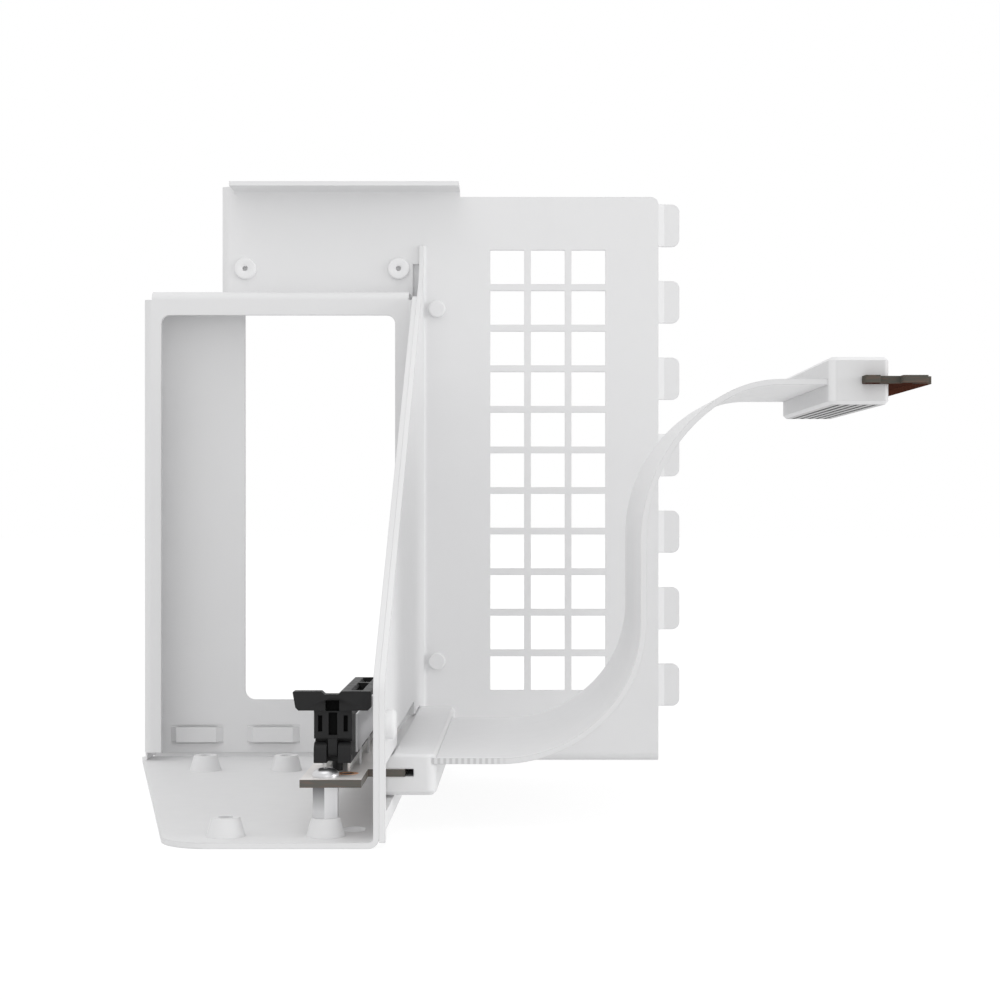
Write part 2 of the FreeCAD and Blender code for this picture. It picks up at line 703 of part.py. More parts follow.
def card_ledge():
    """Angle behind the rear plate that takes the screws of the card's bracket."""
    left = PLATE_LEFT + BEND_OUT + FIT
    right = GUSSET_X - FIT
    top = RIVET_Z + LEDGE_EDGE
    leg = prism("xz", [
        (left, LEDGE_Z + BEND_OUT, 0),
        (right, LEDGE_Z + BEND_OUT, 0),
        (right, top, 2.0),
        (left, top, 2.0),
    ], PLATE_BACK, PLATE_BACK + SHEET)
    shelf = prism("yz", angle_corners(PLATE_BACK, LEDGE_Z, LEDGE_DEPTH, BEND_OUT), OPENING_LEFT, right)
    cuts = [hole_y(x, z, RIVET_R) for x, z in rivet_places()]
    for i in range(CARD_SLOTS):
        x = OPENING_RIGHT - SLOT_PITCH * (i + 0.5)
        start = V(x, PLATE_BACK + CASE_SCREW_BACK, LEDGE_Z - 1)
        cuts.append(rod(LEDGE_SCREW_R, start, V(0, 0, 1), SHEET + 2))
    return join([leg, shelf]).cut(cuts)


def button(start, axis, radius, height):
    """Low round head with sloping sides, on the plane through start."""
    return Part.makeCone(radius, radius - HEAD_SLOPE * height, height, start, axis)


def rivet(x, z, head_r, head):
    """Headed rivet through the two sheets, with its formed tail."""
    cap = button(V(x, PLATE_Y, z), V(0, -1, 0), head_r, head)
    shank = rod(RIVET_R, V(x, PLATE_Y, z), V(0, 1, 0), 2 * SHEET)
    tail = rod(head_r * 0.8, V(x, PLATE_BACK + SHEET, z), V(0, 1, 0), TAIL)
    return join([cap, shank, tail])


def plate_rivets():
    rivets = [rivet(x, z, RIVET_HEAD_R, RIVET_HEAD) for x, z in rivet_places()]
    return Part.makeCompound(rivets)


def panel_studs():
    studs = [rivet(x, z, STUD_HEAD_R, STUD_HEAD) for x, z in stud_places()]
    return Part.makeCompound(studs)


def hex_prism(flats, start, axis, length, turn):
    """Regular hexagon bar; turn is the angle of its first corner in degrees."""
    radius = flats / 2 / math.cos(math.pi / 6)
    points = []
    for i in range(7):
        a = math.radians(turn + 60 * i)
        points.append(V(radius * math.cos(a), radius * math.sin(a), 0))
    bar = Part.Face(Part.makePolygon(points)).extrude(V(0, 0, length))
    bar.Placement = FreeCAD.Placement(start, FreeCAD.Rotation(V(0, 0, 1), axis))
    return bar


def cap_screw(start, axis, head_r, head, length):
    """Pan-head screw: start is the underside of the head, axis points out of it."""
    top = button(start, axis, head_r, head)
    face = start + axis * head
    socket = hex_prism(2.0, face - axis * (head * 0.55), axis, head, 0)
    shank = rod(M3_R, start, axis * -1, length)
    return join([top, shank]).cut(socket)


def clamp_screw():
    start = V(LAYER_RIGHT, CLAMP_SCREW_Y, CLAMP_SCREW_Z)
    return cap_screw(start, V(1, 0, 0), CLAMP_HEAD_R, CLAMP_HEAD, 2 * SHEET)


def clamp_nut():
    """Flush clinch nut pressed into the inner gusset layer."""
    start = V(LAYER_LEFT, CLAMP_SCREW_Y, CLAMP_SCREW_Z)
    body = rod(CLAMP_NUT_R, start, V(1, 0, 0), SHEET)
    return body.cut(rod(M3_R, start, V(1, 0, 0), SHEET))


def standoff_places():
    return [(BOSS_X, BOSS_FRONT_Y), (BOSS_X, BOSS_REAR_Y)]


def board_standoffs():
    """Hexagonal spacers screwed into two of the bosses."""
    spacers = []
    for x, y in standoff_places():
        body = hex_prism(STANDOFF_FLATS, V(x, y, BOSS_Z), V(0, 0, 1), STANDOFF_LENGTH, 30)
        stud = rod(M3_R, V(x, y, BOSS_Z - STANDOFF_STUD), V(0, 0, 1), STANDOFF_STUD)
        bore = rod(M3_R, V(x, y, BOARD_Z - STANDOFF_BORE), V(0, 0, 1), STANDOFF_BORE)
        spacers.append(join([body, stud]).cut(bore))
    return Part.makeCompound(spacers)


def board_screws():
    screws = []
    for x, y in standoff_places():
        start = V(x, y, BOARD_TOP)
        screws.append(cap_screw(start, V(0, 0, 1), BOARD_HEAD_R, BOARD_HEAD, BOARD_SCREW_LENGTH))
    return Part.makeCompound(screws)


def peg_places():
    reach = SLOT_HALF - PEG_BACK
    return [(0, -reach), (0, reach)]


def riser_board():
    """Circuit board under the card slot, with an arm out through the gusset."""
    sheet = prism("xy", [
        (BOARD_LEFT, BOARD_FRONT, 0),
        (BOARD_STEP_X, BOARD_FRONT, 0),
        (BOARD_STEP_X, BOARD_STEP_FRONT, 0),
        (BOARD_RIGHT, BOARD_STEP_FRONT, 0),
        (BOARD_RIGHT, BOARD_STEP_REAR, 0),
        (BOARD_STEP_X, BOARD_STEP_REAR, 0),
        (BOARD_STEP_X, BOARD_REAR, 0),
        (BOARD_LEFT, BOARD_REAR, 0),
    ], BOARD_Z, BOARD_TOP)
    cuts = [rod(M3_R, V(x, y, BOARD_Z - 1), V(0, 0, 1), BOARD + 2) for x, y in standoff_places()]
    for x, y in peg_places():
        cuts.append(rod(PEG_R, V(x, y, BOARD_Z - 1), V(0, 0, 1), BOARD + 2))
    cuts.append(rod(RING_HOLE_R, V(RING_X, RING_Y, BOARD_Z - 1), V(0, 0, 1), BOARD + 2))
    return sheet.cut(cuts)


def ground_ring():
    """Plated ring round the spare hole near the latch."""
    disc = rod(RING_R, V(RING_X, RING_Y, BOARD_TOP), V(0, 0, 1), RING)
    return disc.cut(rod(RING_HOLE_R, V(RING_X, RING_Y, BOARD_TOP), V(0, 0, 1), RING))


def groove_cuts():
    """Card groove in the slot, in two lengths with the key between them."""
    rear = SLOT_HALF - GROOVE_END
    key = rear - KEY_OFFSET
    cuts = []
    for y0, y1 in ((key, rear), (GROOVE_END - SLOT_HALF, key - KEY_WIDTH)):
        low = SLOT_TOP - GROOVE_DEPTH
        lead = SLOT_TOP - GROOVE_LEAD
        half = GROOVE_WIDTH / 2
        mouth = half + GROOVE_LEAD * 0.6
        section = [
            (-half, low, 0),
            (half, low, 0),
            (half, lead, 0),
            (mouth, SLOT_TOP, 0),
            (-mouth, SLOT_TOP, 0),
            (-half, lead, 0),
        ]
        cuts.append(prism("xz", section, y0, y1))
    return cuts


def cheek(side):
    """Ear of the slot that carries one end of the latch's pivot."""
    inner = CHEEK_INNER
    outer = SLOT_WIDTH / 2
    x0 = inner if side > 0 else -outer
    x1 = outer if side > 0 else -inner
    block = box(x0, x1, PIVOT_Y - CHEEK_R, -SLOT_HALF + 0.5, SLOT_LOW, PIVOT_Z)
    upper = box(x0, x1, PIVOT_Y, -SLOT_HALF + 0.5, PIVOT_Z, PIVOT_Z + CHEEK_R)
    nose = rod(CHEEK_R, V(x0, PIVOT_Y, PIVOT_Z), V(1, 0, 0), outer - inner)
    return [block, upper, nose]


def card_slot():
    """Black edge connector that takes the graphics card."""
    half = SLOT_WIDTH / 2
    body = box(-half, half, -SLOT_HALF, SLOT_HALF, SLOT_LOW, SLOT_TOP)
    body = body.makeChamfer(0.4, level_edges(body, (SLOT_TOP,)))
    pegs = [rod(PEG_R, V(x, y, BOARD_Z), V(0, 0, 1), SLOT_LOW - BOARD_Z) for x, y in peg_places()]
    whole = join([body] + cheek(1) + cheek(-1) + pegs)
    bore = rod(PIVOT_R + RUNNING, V(-half - 1, PIVOT_Y, PIVOT_Z), V(1, 0, 0), SLOT_WIDTH + 2)
    return whole.cut(groove_cuts() + [bore])


def slot_contacts():
    """Solder pins of the slot's contacts, in a row along each side."""
    legs = []
    count = int((SLOT_LENGTH - 2 * CONTACT_INSET) / CONTACT_PITCH)
    start = -(count - 1) * CONTACT_PITCH / 2
    half = CONTACT_THICK / 2
    for x in (CONTACT_ROW_X, -CONTACT_ROW_X):
        for i in range(count):
            y = start + i * CONTACT_PITCH
            legs.append(box(x - half, x + half, y - CONTACT_WIDTH / 2, y + CONTACT_WIDTH / 2,
                            BOARD_TOP, SLOT_LOW))
    return Part.makeCompound(legs)


def slot_shield():
    """Steel sleeve round both long sides and the rear end of the slot."""
    half = SLOT_WIDTH / 2
    front = -SLOT_HALF + SHIELD_END
    rear = SLOT_HALF + SHIELD
    parts = [
        box(half, half + SHIELD, front, rear, SHIELD_LOW, SHIELD_TOP),
        box(-half - SHIELD, -half, front, rear, SHIELD_LOW, SHIELD_TOP),
        box(-half, half, SLOT_HALF, rear, SHIELD_LOW, SHIELD_TOP),
    ]
    for i in range(SHIELD_FEET):
        y0 = front + (i + 0.5) * (rear - front) / SHIELD_FEET - SHIELD_FOOT / 2
        y1 = y0 + SHIELD_FOOT
        parts.append(box(half, half + SHIELD, y0, y1, BOARD_TOP, SHIELD_LOW))
        parts.append(box(-half - SHIELD, -half, y0, y1, BOARD_TOP, SHIELD_LOW))
    return join(parts)


def latch_section():
    """Front outline of the latch, with its two wings."""
    half = LATCH_WIDTH / 2
    return [
        (-half, LATCH_BODY_LOW, 0),
        (half, LATCH_BODY_LOW, 0),
        (half, WING_LOW, 0),
        (WING_RIGHT - 0.6, WING_LOW, 0),
        (WING_RIGHT, WING_LOW + 0.6, 0),
        (WING_RIGHT, WING_TOP, 0.3),
        (1.9, WING_TOP, 0),
        (1.2, WING_TOP - 0.6, 0),
        (-1.6, WING_TOP - 0.6, 0),
        (-2.3, WING_TOP, 0),
        (WING_LEFT, WING_TOP, 0.3),
        (WING_LEFT + 0.6, WING_LOW + 0.6, 0),
        (WING_LEFT + 1.2, WING_LOW, 0),
        (-half, WING_LOW, 0),
    ]


def slot_latch():
    """Lever at the slot's front end that locks the card's hook."""
    rear = -SLOT_HALF - LATCH_CLEAR
    front = rear - LATCH_THICK
    half = LATCH_TONGUE / 2
    knuckle_r = CHEEK_R - 0.7
    plate = prism("xz", latch_section(), front, rear)
    recess = box(WING_LEFT, WING_RIGHT, front - 1, rear - LATCH_BODY_THICK, LATCH_BODY_LOW - 1, WING_LOW)
    plate = plate.cut(recess)
    tongue = box(-half, half, PIVOT_Y - knuckle_r, PIVOT_Y + knuckle_r, PIVOT_Z, LATCH_BODY_LOW)
    knuckle = rod(knuckle_r, V(-half, PIVOT_Y, PIVOT_Z), V(1, 0, 0), LATCH_TONGUE)
    pin_half = SLOT_WIDTH / 2 - RUNNING
    pin = rod(PIVOT_R, V(-pin_half, PIVOT_Y, PIVOT_Z), V(1, 0, 0), 2 * pin_half)
    hook_low = WING_LOW - 0.4
    hook = prism("yz", [
        (rear - 0.5, hook_low, 0),
        (rear + HOOK_REACH, hook_low + 0.6, 0.3),
        (rear + HOOK_REACH, hook_low + 1.8, 0.3),
        (rear - 0.5, hook_low + HOOK_HEIGHT, 0),
    ], -HOOK_WIDTH / 2, HOOK_WIDTH / 2)
    floor = rear - LATCH_BODY_THICK / 2
    half = LATCH_GROOVE / 2
    cuts = [box(-half, half, front - 1, floor, LATCH_BODY_LOW + 0.7, WING_LOW - 0.5)]
    half = LATCH_SLOT / 2
    for x in (-LATCH_SLOT_X, LATCH_SLOT_X):
        cuts.append(box(x - half, x + half, front - 1, floor, LATCH_BODY_LOW + 1.4, WING_LOW - 1.1))
    return join([plate, tongue, knuckle, pin, hook]).cut(cuts)


def cable_path():
    """Straights (length,) and bends (radius, degrees) of the cable's middle line."""
    return [
        (CABLE_SEAT + CABLE_RUN,),
        (LOWER_R1, LOWER_TURN),
        (LOWER_R2, 90 - LOWER_TURN),
        (CABLE_RISE,),
        (UPPER_R1, -UPPER_TURN),
        (UPPER_R2, UPPER_TURN - 90),
        (CABLE_LEAD + CABLE_SEAT,),
    ]


def offset_point(point, heading, shift):
    return V(point.x - shift * math.sin(heading), 0, point.z + shift * math.cos(heading))


def cable_edges(shift):
    """Edges of one face of the cable, a signed distance from its middle line."""
    point = V(NEAR_RIGHT - CABLE_SEAT, 0, CABLE_LOW + CABLE / 2)
    heading = 0.0
    edges = []
    for step in cable_path():
        start = offset_point(point, heading, shift)
        if len(step) == 1:
            point = point + V(step[0] * math.cos(heading), 0, step[0] * math.sin(heading))
            edges.append(Part.LineSegment(start, offset_point(point, heading, shift)).toShape())
            continue
        turn = math.radians(step[1])
        radius = math.copysign(step[0], turn)
        centre = offset_point(point, heading, radius)
        middle = offset_point(centre, heading + turn / 2, shift - radius)
        end = offset_point(centre, heading + turn, shift - radius)
        edges.append(Part.Arc(start, middle, end).toShape())
        heading = heading + turn
        point = offset_point(centre, heading, -radius)
    return edges


def ribbon_cable():
    """Flat shielded cable, held in its preformed double bend."""
    above = cable_edges(CABLE / 2)
    below = cable_edges(-CABLE / 2)
    first = Part.LineSegment(below[0].Vertexes[0].Point, above[0].Vertexes[0].Point).toShape()
    last = Part.LineSegment(above[-1].Vertexes[-1].Point, below[-1].Vertexes[-1].Point).toShape()
    wire = Part.Wire(Part.__sortEdges__(above + [last] + below + [first]))
    strip = Part.Face(wire).extrude(V(0, CABLE_WIDTH, 0))
    strip.translate(V(0, CABLE_FRONT, 0))
    return strip


def near_housing():
    """Moulded block that joins the cable to the riser board's arm, right through the gate."""
    block = prism("xy", [
        (NEAR_LEFT, NEAR_FRONT, HOUSING_INNER_R),
        (NEAR_RIGHT, NEAR_FRONT, HOUSING_R),
        (NEAR_RIGHT, NEAR_REAR, HOUSING_R),
        (NEAR_LEFT, NEAR_REAR, HOUSING_INNER_R),
    ], NEAR_LOW, NEAR_TOP)
    block = bevelled(block, HOUSING_EDGE, NEAR_LOW, NEAR_TOP)
    slit = box(NEAR_LEFT - 1, BOARD_RIGHT + SLIT_SPARE, NEAR_FRONT - 1, BOARD_STEP_REAR, BOARD_Z, BOARD_TOP)
    shoulder = prism("xz", [
        (NEAR_LEFT - 1, NEAR_TOP + 1, 0),
        (NEAR_SHOULDER_X, NEAR_TOP + 1, 0),
        (NEAR_SHOULDER_X, NEAR_TOP, 0),
        (NEAR_LEFT, NEAR_TOP - NEAR_SHOULDER, 0),
        (NEAR_LEFT - 1, NEAR_TOP - NEAR_SHOULDER, 0),
    ], NEAR_FRONT - 1, NEAR_REAR + 1)
    return block.cut([slit, shoulder, ribbon_cable()])


def edge_board_corners():
    """Top outline of the edge board, with its locking hook and key notch."""
    hook_rear = FAR_FRONT - HOOK_GAP
    return [
        (EDGE_LEFT, EDGE_REAR, 0),
        (EDGE_LEFT, FAR_FRONT + HOUSING_WALL, 0),
        (EDGE_TAB_LEFT, FAR_FRONT + HOUSING_WALL, 0),
        (EDGE_TAB_LEFT, EDGE_TIP, 0.3),
        (EDGE_TAB_RIGHT, EDGE_TIP, 0.3),
        (EDGE_TAB_RIGHT, EDGE_NECK, 0),
        (EDGE_HOOK_LEFT, EDGE_NECK, 0),
        (EDGE_HOOK_LEFT, EDGE_TIP, 0.6),
        (EDGE_HOOK_RIGHT, EDGE_TIP, 0.6),
        (EDGE_HOOK_RIGHT, hook_rear, 0.3),
        (EDGE_RIGHT - HOOK_GAP_DEPTH, hook_rear, 0.5),
        (EDGE_RIGHT - HOOK_GAP_DEPTH, FAR_FRONT, 0.5),
        (EDGE_RIGHT, FAR_FRONT, 0.6),
        (EDGE_RIGHT, EDGE_KEY_Y, 0.3),
        (EDGE_RIGHT - EDGE_KEY_DEPTH, EDGE_KEY_Y, 0.6),
        (EDGE_RIGHT - EDGE_KEY_DEPTH, EDGE_KEY_Y + KEY_WIDTH, 0.6),
        (EDGE_RIGHT, EDGE_KEY_Y + KEY_WIDTH, 0.3),
        (EDGE_RIGHT, EDGE_REAR, 0.6),
    ]


def edge_board():
    return prism("xy", edge_board_corners(), EDGE_Z, EDGE_TOP)


def edge_pads():
    """Plated fingers on both faces of the edge board."""
    pads = []
    x1 = EDGE_RIGHT - PAD_EDGE
    x0 = x1 - PAD_LENGTH
    spans = (
        (FAR_FRONT + 2 * PAD_EDGE, EDGE_KEY_Y - PAD_EDGE),
        (EDGE_KEY_Y + KEY_WIDTH + PAD_EDGE, EDGE_REAR - PAD_EDGE),
    )
    for low, high in spans:
        for i in range(int((high - low) / PAD_PITCH)):
            y = low + i * PAD_PITCH
            pads.append(box(x0, x1, y, y + PAD_WIDTH, EDGE_TOP, EDGE_TOP + PAD))
            pads.append(box(x0, x1, y, y + PAD_WIDTH, EDGE_Z - PAD, EDGE_Z))
    return Part.makeCompound(pads)


def foot_groove_cuts():
    """Long grooves in the underside of the far housing."""
    cuts = []
    first = (FAR_LEFT + FAR_RIGHT - FOOT_GROOVE - (FOOT_GROOVES - 1) * FOOT_GROOVE_PITCH) / 2
    front = FAR_FRONT + HOUSING_R
    rear = FAR_REAR - HOUSING_R
    for i in range(FOOT_GROOVES):
        x = first + i * FOOT_GROOVE_PITCH
        cuts.append(box(x, x + FOOT_GROOVE, front, rear, FAR_LOW - 1, FAR_LOW + FOOT_GROOVE_DEPTH))
    return cuts


def far_housing():
    """Moulded block that joins the cable to the edge board."""
    block = prism("xy", [
        (FAR_LEFT, FAR_FRONT, HOUSING_R),
        (FAR_RIGHT, FAR_FRONT, HOUSING_INNER_R),
        (FAR_RIGHT, FAR_REAR, HOUSING_INNER_R),
        (FAR_LEFT, FAR_REAR, HOUSING_R),
    ], FAR_LOW, FAR_TOP)
    block = bevelled(block, HOUSING_EDGE, FAR_LOW, FAR_TOP)
    return block.cut([edge_board(), ribbon_cable()] + foot_groove_cuts())


NODES = {
    "rear_plate": rear_plate,
    "card_frame": card_frame,
    "window_panel": window_panel,
    "card_ledge": card_ledge,
    "plate_rivets": plate_rivets,
    "panel_studs": panel_studs,
    "clamp_screw": clamp_screw,
    "clamp_nut": clamp_nut,
    "board_standoffs": board_standoffs,
    "board_screws": board_screws,
    "riser_board": riser_board,
    "ground_ring": ground_ring,
    "card_slot": card_slot,
    "slot_contacts": slot_contacts,
    "slot_shield": slot_shield,
    "slot_latch": slot_latch,
    "near_housing": near_housing,
    "ribbon_cable": ribbon_cable,
    "far_housing": far_housing,
    "edge_board": edge_board,
    "edge_pads": edge_pads,
}


def main():
    os.makedirs("parts", exist_ok=True)
    for name, make in NODES.items():
        shape = make()
        shape.exportStep("parts/" + name + ".step")
        print(name, "solids", len(shape.Solids), "volume", round(shape.Volume, 2), "valid", shape.isValid())


main()
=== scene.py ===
import math

import bmesh
import bpy
from mathutils import Matrix, Vector


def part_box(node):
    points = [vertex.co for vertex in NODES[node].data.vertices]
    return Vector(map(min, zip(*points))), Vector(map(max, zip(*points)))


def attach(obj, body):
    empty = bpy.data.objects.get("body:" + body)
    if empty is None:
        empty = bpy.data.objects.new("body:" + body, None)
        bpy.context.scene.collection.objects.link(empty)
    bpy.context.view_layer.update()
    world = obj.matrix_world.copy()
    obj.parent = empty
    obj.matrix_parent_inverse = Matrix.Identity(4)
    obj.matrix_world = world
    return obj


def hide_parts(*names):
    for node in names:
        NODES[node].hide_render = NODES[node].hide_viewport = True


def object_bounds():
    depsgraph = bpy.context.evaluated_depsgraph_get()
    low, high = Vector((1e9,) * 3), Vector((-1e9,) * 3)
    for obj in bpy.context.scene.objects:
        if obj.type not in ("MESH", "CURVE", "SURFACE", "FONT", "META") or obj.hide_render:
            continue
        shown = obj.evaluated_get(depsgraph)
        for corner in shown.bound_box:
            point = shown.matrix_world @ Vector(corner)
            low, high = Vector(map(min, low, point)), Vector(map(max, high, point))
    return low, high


MM = 0.001

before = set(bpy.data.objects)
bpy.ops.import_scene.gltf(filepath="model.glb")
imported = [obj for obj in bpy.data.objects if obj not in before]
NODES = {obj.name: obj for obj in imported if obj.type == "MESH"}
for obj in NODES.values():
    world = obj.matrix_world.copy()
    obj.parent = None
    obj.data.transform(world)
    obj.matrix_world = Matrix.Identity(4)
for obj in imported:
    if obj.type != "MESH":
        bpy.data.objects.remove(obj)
cad_low, cad_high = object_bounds()


# Helpers that make meshes and objects


def stored(mesh, name):
    """Stores a bmesh under a name and frees it."""
    data = bpy.data.meshes.new(name)
    mesh.to_mesh(data)
    mesh.free()
    return data


def smoothed(data, crease):
    """Shades a mesh smooth, with crisp edges where faces turn by more than the crease angle."""
    data.shade_smooth()
    data.set_sharp_from_angle(angle=crease)


def placed(name, data):
    """A new object in the scene."""
    obj = bpy.data.objects.new(name, data)
    bpy.context.scene.collection.objects.link(obj)
    return obj


# Materials

WHITE = (0.79, 0.79, 0.795)
BLACK = (0.012, 0.012, 0.0125)
LAMINATE = (0.096, 0.092, 0.080)
WARM_LAMINATE = (0.150, 0.100, 0.080)
MASK_WHITE = (0.82, 0.79, 0.77)
# The white board's underside: a darker copy of its mask colour, painted shade.
MASK_UNDER_SHADED = (0.62, 0.59, 0.57)
MASK_BROWN = (0.060, 0.022, 0.015)
GOLD = (0.78, 0.56, 0.22)
FINGERS_PAINTED_DARK = (0.075, 0.028, 0.018)

FACING = 0.7  # a face looks along an axis when its normal has more than this of it


class Shader:
    """A node material under construction: one Principled shader and what feeds it."""

    def __init__(self, name, edge=0.0):
        self.material = bpy.data.materials.new(name)
        self.material.use_nodes = True
        self.tree = self.material.node_tree
        self.tree.nodes.clear()
        self.surface = self.add("BsdfPrincipled")
        self.link(self.surface.outputs["BSDF"], self.add("OutputMaterial").inputs["Surface"])
        where = self.add("TexCoord")
        self.place = where.outputs["Object"]
        self.facing = where.outputs["Normal"]
        self.edge = edge

    def add(self, kind):
        return self.tree.nodes.new("ShaderNode" + kind)

    def link(self, source, target):
        self.tree.links.new(source, target)

    def feed(self, value, socket):
        """Links an output to a socket, or sets a plain number on it."""
        if isinstance(value, (int, float)):
            socket.default_value = value
        else:
            self.link(value, socket)

    def math(self, operation, first, second=0.0):
        node = self.add("Math")
        node.operation = operation
        self.feed(first, node.inputs[0])
        self.feed(second, node.inputs[1])
        return node.outputs[0]

    def both(self, *masks):
        """1 where every mask is 1."""
        result = masks[0]
        for mask in masks[1:]:
            result = self.math("MULTIPLY", result, mask)
        return result

    def axes(self, vector):
        """The x, y and z of a vector."""
        node = self.add("SeparateXYZ")
        self.link(vector, node.inputs[0])
        return node.outputs

    def noise(self, size, detail=2.0, stretch=(1, 1, 1)):
        """Noise whose grains are about `size` metres across."""
        mapping = self.add("Mapping")
        mapping.inputs["Scale"].default_value = stretch
        self.link(self.place, mapping.inputs["Vector"])
        node = self.add("TexNoise")
        node.inputs["Scale"].default_value = 1 / size
        node.inputs["Detail"].default_value = detail
        self.link(mapping.outputs["Vector"], node.inputs["Vector"])
        return node.outputs["Fac"]

    def spread(self, factor, low, high, start=0.3, end=0.7):
        """factor, from start to end, spread to the range low..high."""
        node = self.add("MapRange")
        node.inputs["From Min"].default_value = start
        node.inputs["From Max"].default_value = end
        node.inputs["To Min"].default_value = low
        node.inputs["To Max"].default_value = high
        self.link(factor, node.inputs["Value"])
        return node.outputs["Result"]

    def mix(self, factor, first, second):
        """Colour between two colours, each a tuple or another node's output."""
        node = self.add("Mix")
        node.data_type = "RGBA"
        sockets = [socket for socket in node.inputs if socket.type == "RGBA"]
        for value, socket in zip((first, second), sockets):
            if isinstance(value, tuple):
                socket.default_value = (*value, 1)
            else:
                self.link(value, socket)
        self.link(factor, node.inputs["Factor"])
        return [socket for socket in node.outputs if socket.type == "RGBA"][0]

    def tone(self, colour, size, low, high):
        """The colour, drifting a little darker and lighter over patches of one size."""
        return self.mix(self.noise(size), shade(colour, low), shade(colour, high))

    def colour(self, source):
        self.link(source, self.surface.inputs["Base Color"])

    def roughness(self, source):
        self.link(source, self.surface.inputs["Roughness"])

    def bump(self, height, depth, strength):
        """Surface relief on top of slightly rounded edges."""
        node = self.add("Bump")
        node.inputs["Distance"].default_value = depth
        node.inputs["Strength"].default_value = strength
        self.link(height, node.inputs["Height"])
        if self.edge:
            rounding = self.add("Bevel")
            rounding.samples = 4
            rounding.inputs["Radius"].default_value = self.edge
            self.link(rounding.outputs["Normal"], node.inputs["Normal"])
        self.link(node.outputs["Normal"], self.surface.inputs["Normal"])


def shade(colour, factor):
    """The colour made darker or lighter, kept within what a surface can reflect."""
    return tuple(min(1.0, c * factor) for c in colour)


def powder_coat(name, colour, edge=0.25 * MM):
    """White powder coat: a fine orange-peel skin with a soft sheen."""
    shader = Shader(name, edge)
    shader.colour(shader.tone(colour, 12 * MM, low=0.988, high=1.008))
    shader.roughness(shader.spread(shader.noise(4 * MM), low=0.46, high=0.56))
    shader.surface.inputs["Specular IOR Level"].default_value = 0.35
    shader.bump(shader.noise(0.45 * MM, detail=3.0), depth=0.02 * MM, strength=0.5)
    return shader.material


def spark_eroded(shader):
    """The fine grain that a mould leaves on white plastic."""
    shader.roughness(shader.spread(shader.noise(2 * MM), low=0.45, high=0.56))
    shader.bump(shader.noise(0.3 * MM, detail=3.0), depth=0.012 * MM, strength=0.5)


def moulded(name, colour, edge):
    """White moulded plastic."""
    shader = Shader(name, edge)
    shader.colour(shader.tone(colour, 6 * MM, low=0.985, high=1.01))
    spark_eroded(shader)
    return shader.material


GROOVE_MARGIN = 1.5 * MM
GROOVE_START = 0.02 * MM
GROOVE_DEEP = 0.55 * MM
ROUNDED_BELOW = 0.93
FLAT_ABOVE = 0.985
# Tones of the painted highlight on rounded edges and of the painted shade on the underside.
ROUNDED_PAINTED_HIGHLIGHT = 1.13
FACING_DOWN = -0.9
UNDERSIDE_PAINTED_SHADE = 0.66


def grooved_moulding(name, colour, groove_shade):
    """Moulded plastic: the grooves in its underside and the underside itself darkened as painted
    shade, its rounded edges lighter as a painted highlight.
    """
    low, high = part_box("far_housing")
    shader = Shader(name, edge=0.3 * MM)
    position = shader.axes(shader.place)
    normal = shader.axes(shader.facing)
    grooves = shader.both(
        shader.math("GREATER_THAN", position[0], low[0] + GROOVE_MARGIN),
        shader.math("LESS_THAN", position[0], high[0] - GROOVE_MARGIN),
        shader.math("GREATER_THAN", position[1], low[1] + GROOVE_MARGIN),
        shader.math("GREATER_THAN", position[2], low[2] + GROOVE_START),
        shader.math("LESS_THAN", position[2], low[2] + GROOVE_DEEP),
    )
    steepest = shader.math("ABSOLUTE", normal[0])
    for axis in (1, 2):
        steepest = shader.math("MAXIMUM", steepest, shader.math("ABSOLUTE", normal[axis]))
    rounded = shader.spread(steepest, low=1.0, high=0.0, start=ROUNDED_BELOW, end=FLAT_ABOVE)
    skin = shader.tone(colour, 6 * MM, low=0.985, high=1.01)
    # Rounded edges lighter: painted highlight.
    skin = shader.mix(rounded, skin, shade(colour, ROUNDED_PAINTED_HIGHLIGHT))
    # Faces turned down darker: painted shade.
    under = shader.math("LESS_THAN", normal[2], FACING_DOWN)
    skin = shader.mix(under, skin, shade(colour, UNDERSIDE_PAINTED_SHADE))
    # Groove floors and walls dark grey: painted shade in the recesses.
    shader.colour(shader.mix(grooves, skin, groove_shade))
    spark_eroded(shader)
    return shader.material


CAVITY_PAINTED_SHADE = 0.12


def black_moulding(name, colour, cavity=None):
    """Matt black plastic; cavity is a function that masks recesses, which are darkened as painted
    shade.
    """
    shader = Shader(name, edge=0.15 * MM)
    skin = shader.tone(colour, 3 * MM, low=0.85, high=1.2)
    rough = shader.spread(shader.noise(2 * MM), low=0.42, high=0.54)
    shader.surface.inputs["Specular IOR Level"].default_value = 0.24
    if cavity:
        mask = cavity(shader)
        # Recesses darker: painted shade.
        skin = shader.mix(mask, skin, shade(colour, CAVITY_PAINTED_SHADE))
        rough = shader.math("MAXIMUM", rough, mask)
    shader.colour(skin)
    shader.roughness(rough)
    shader.bump(shader.noise(0.25 * MM, detail=3.0), depth=0.012 * MM, strength=0.6)
    return shader.material


LATCH_FACE = 1.8 * MM
LATCH_WING = 3.9 * MM
RECESS_HALF = 1.4 * MM
RECESS_MASK = 1.1 * RECESS_HALF
RECESS_LOW = 26.5 * MM
RECESS_TOP = 28.8 * MM
RECESS_DEEP = 1.9 * MM


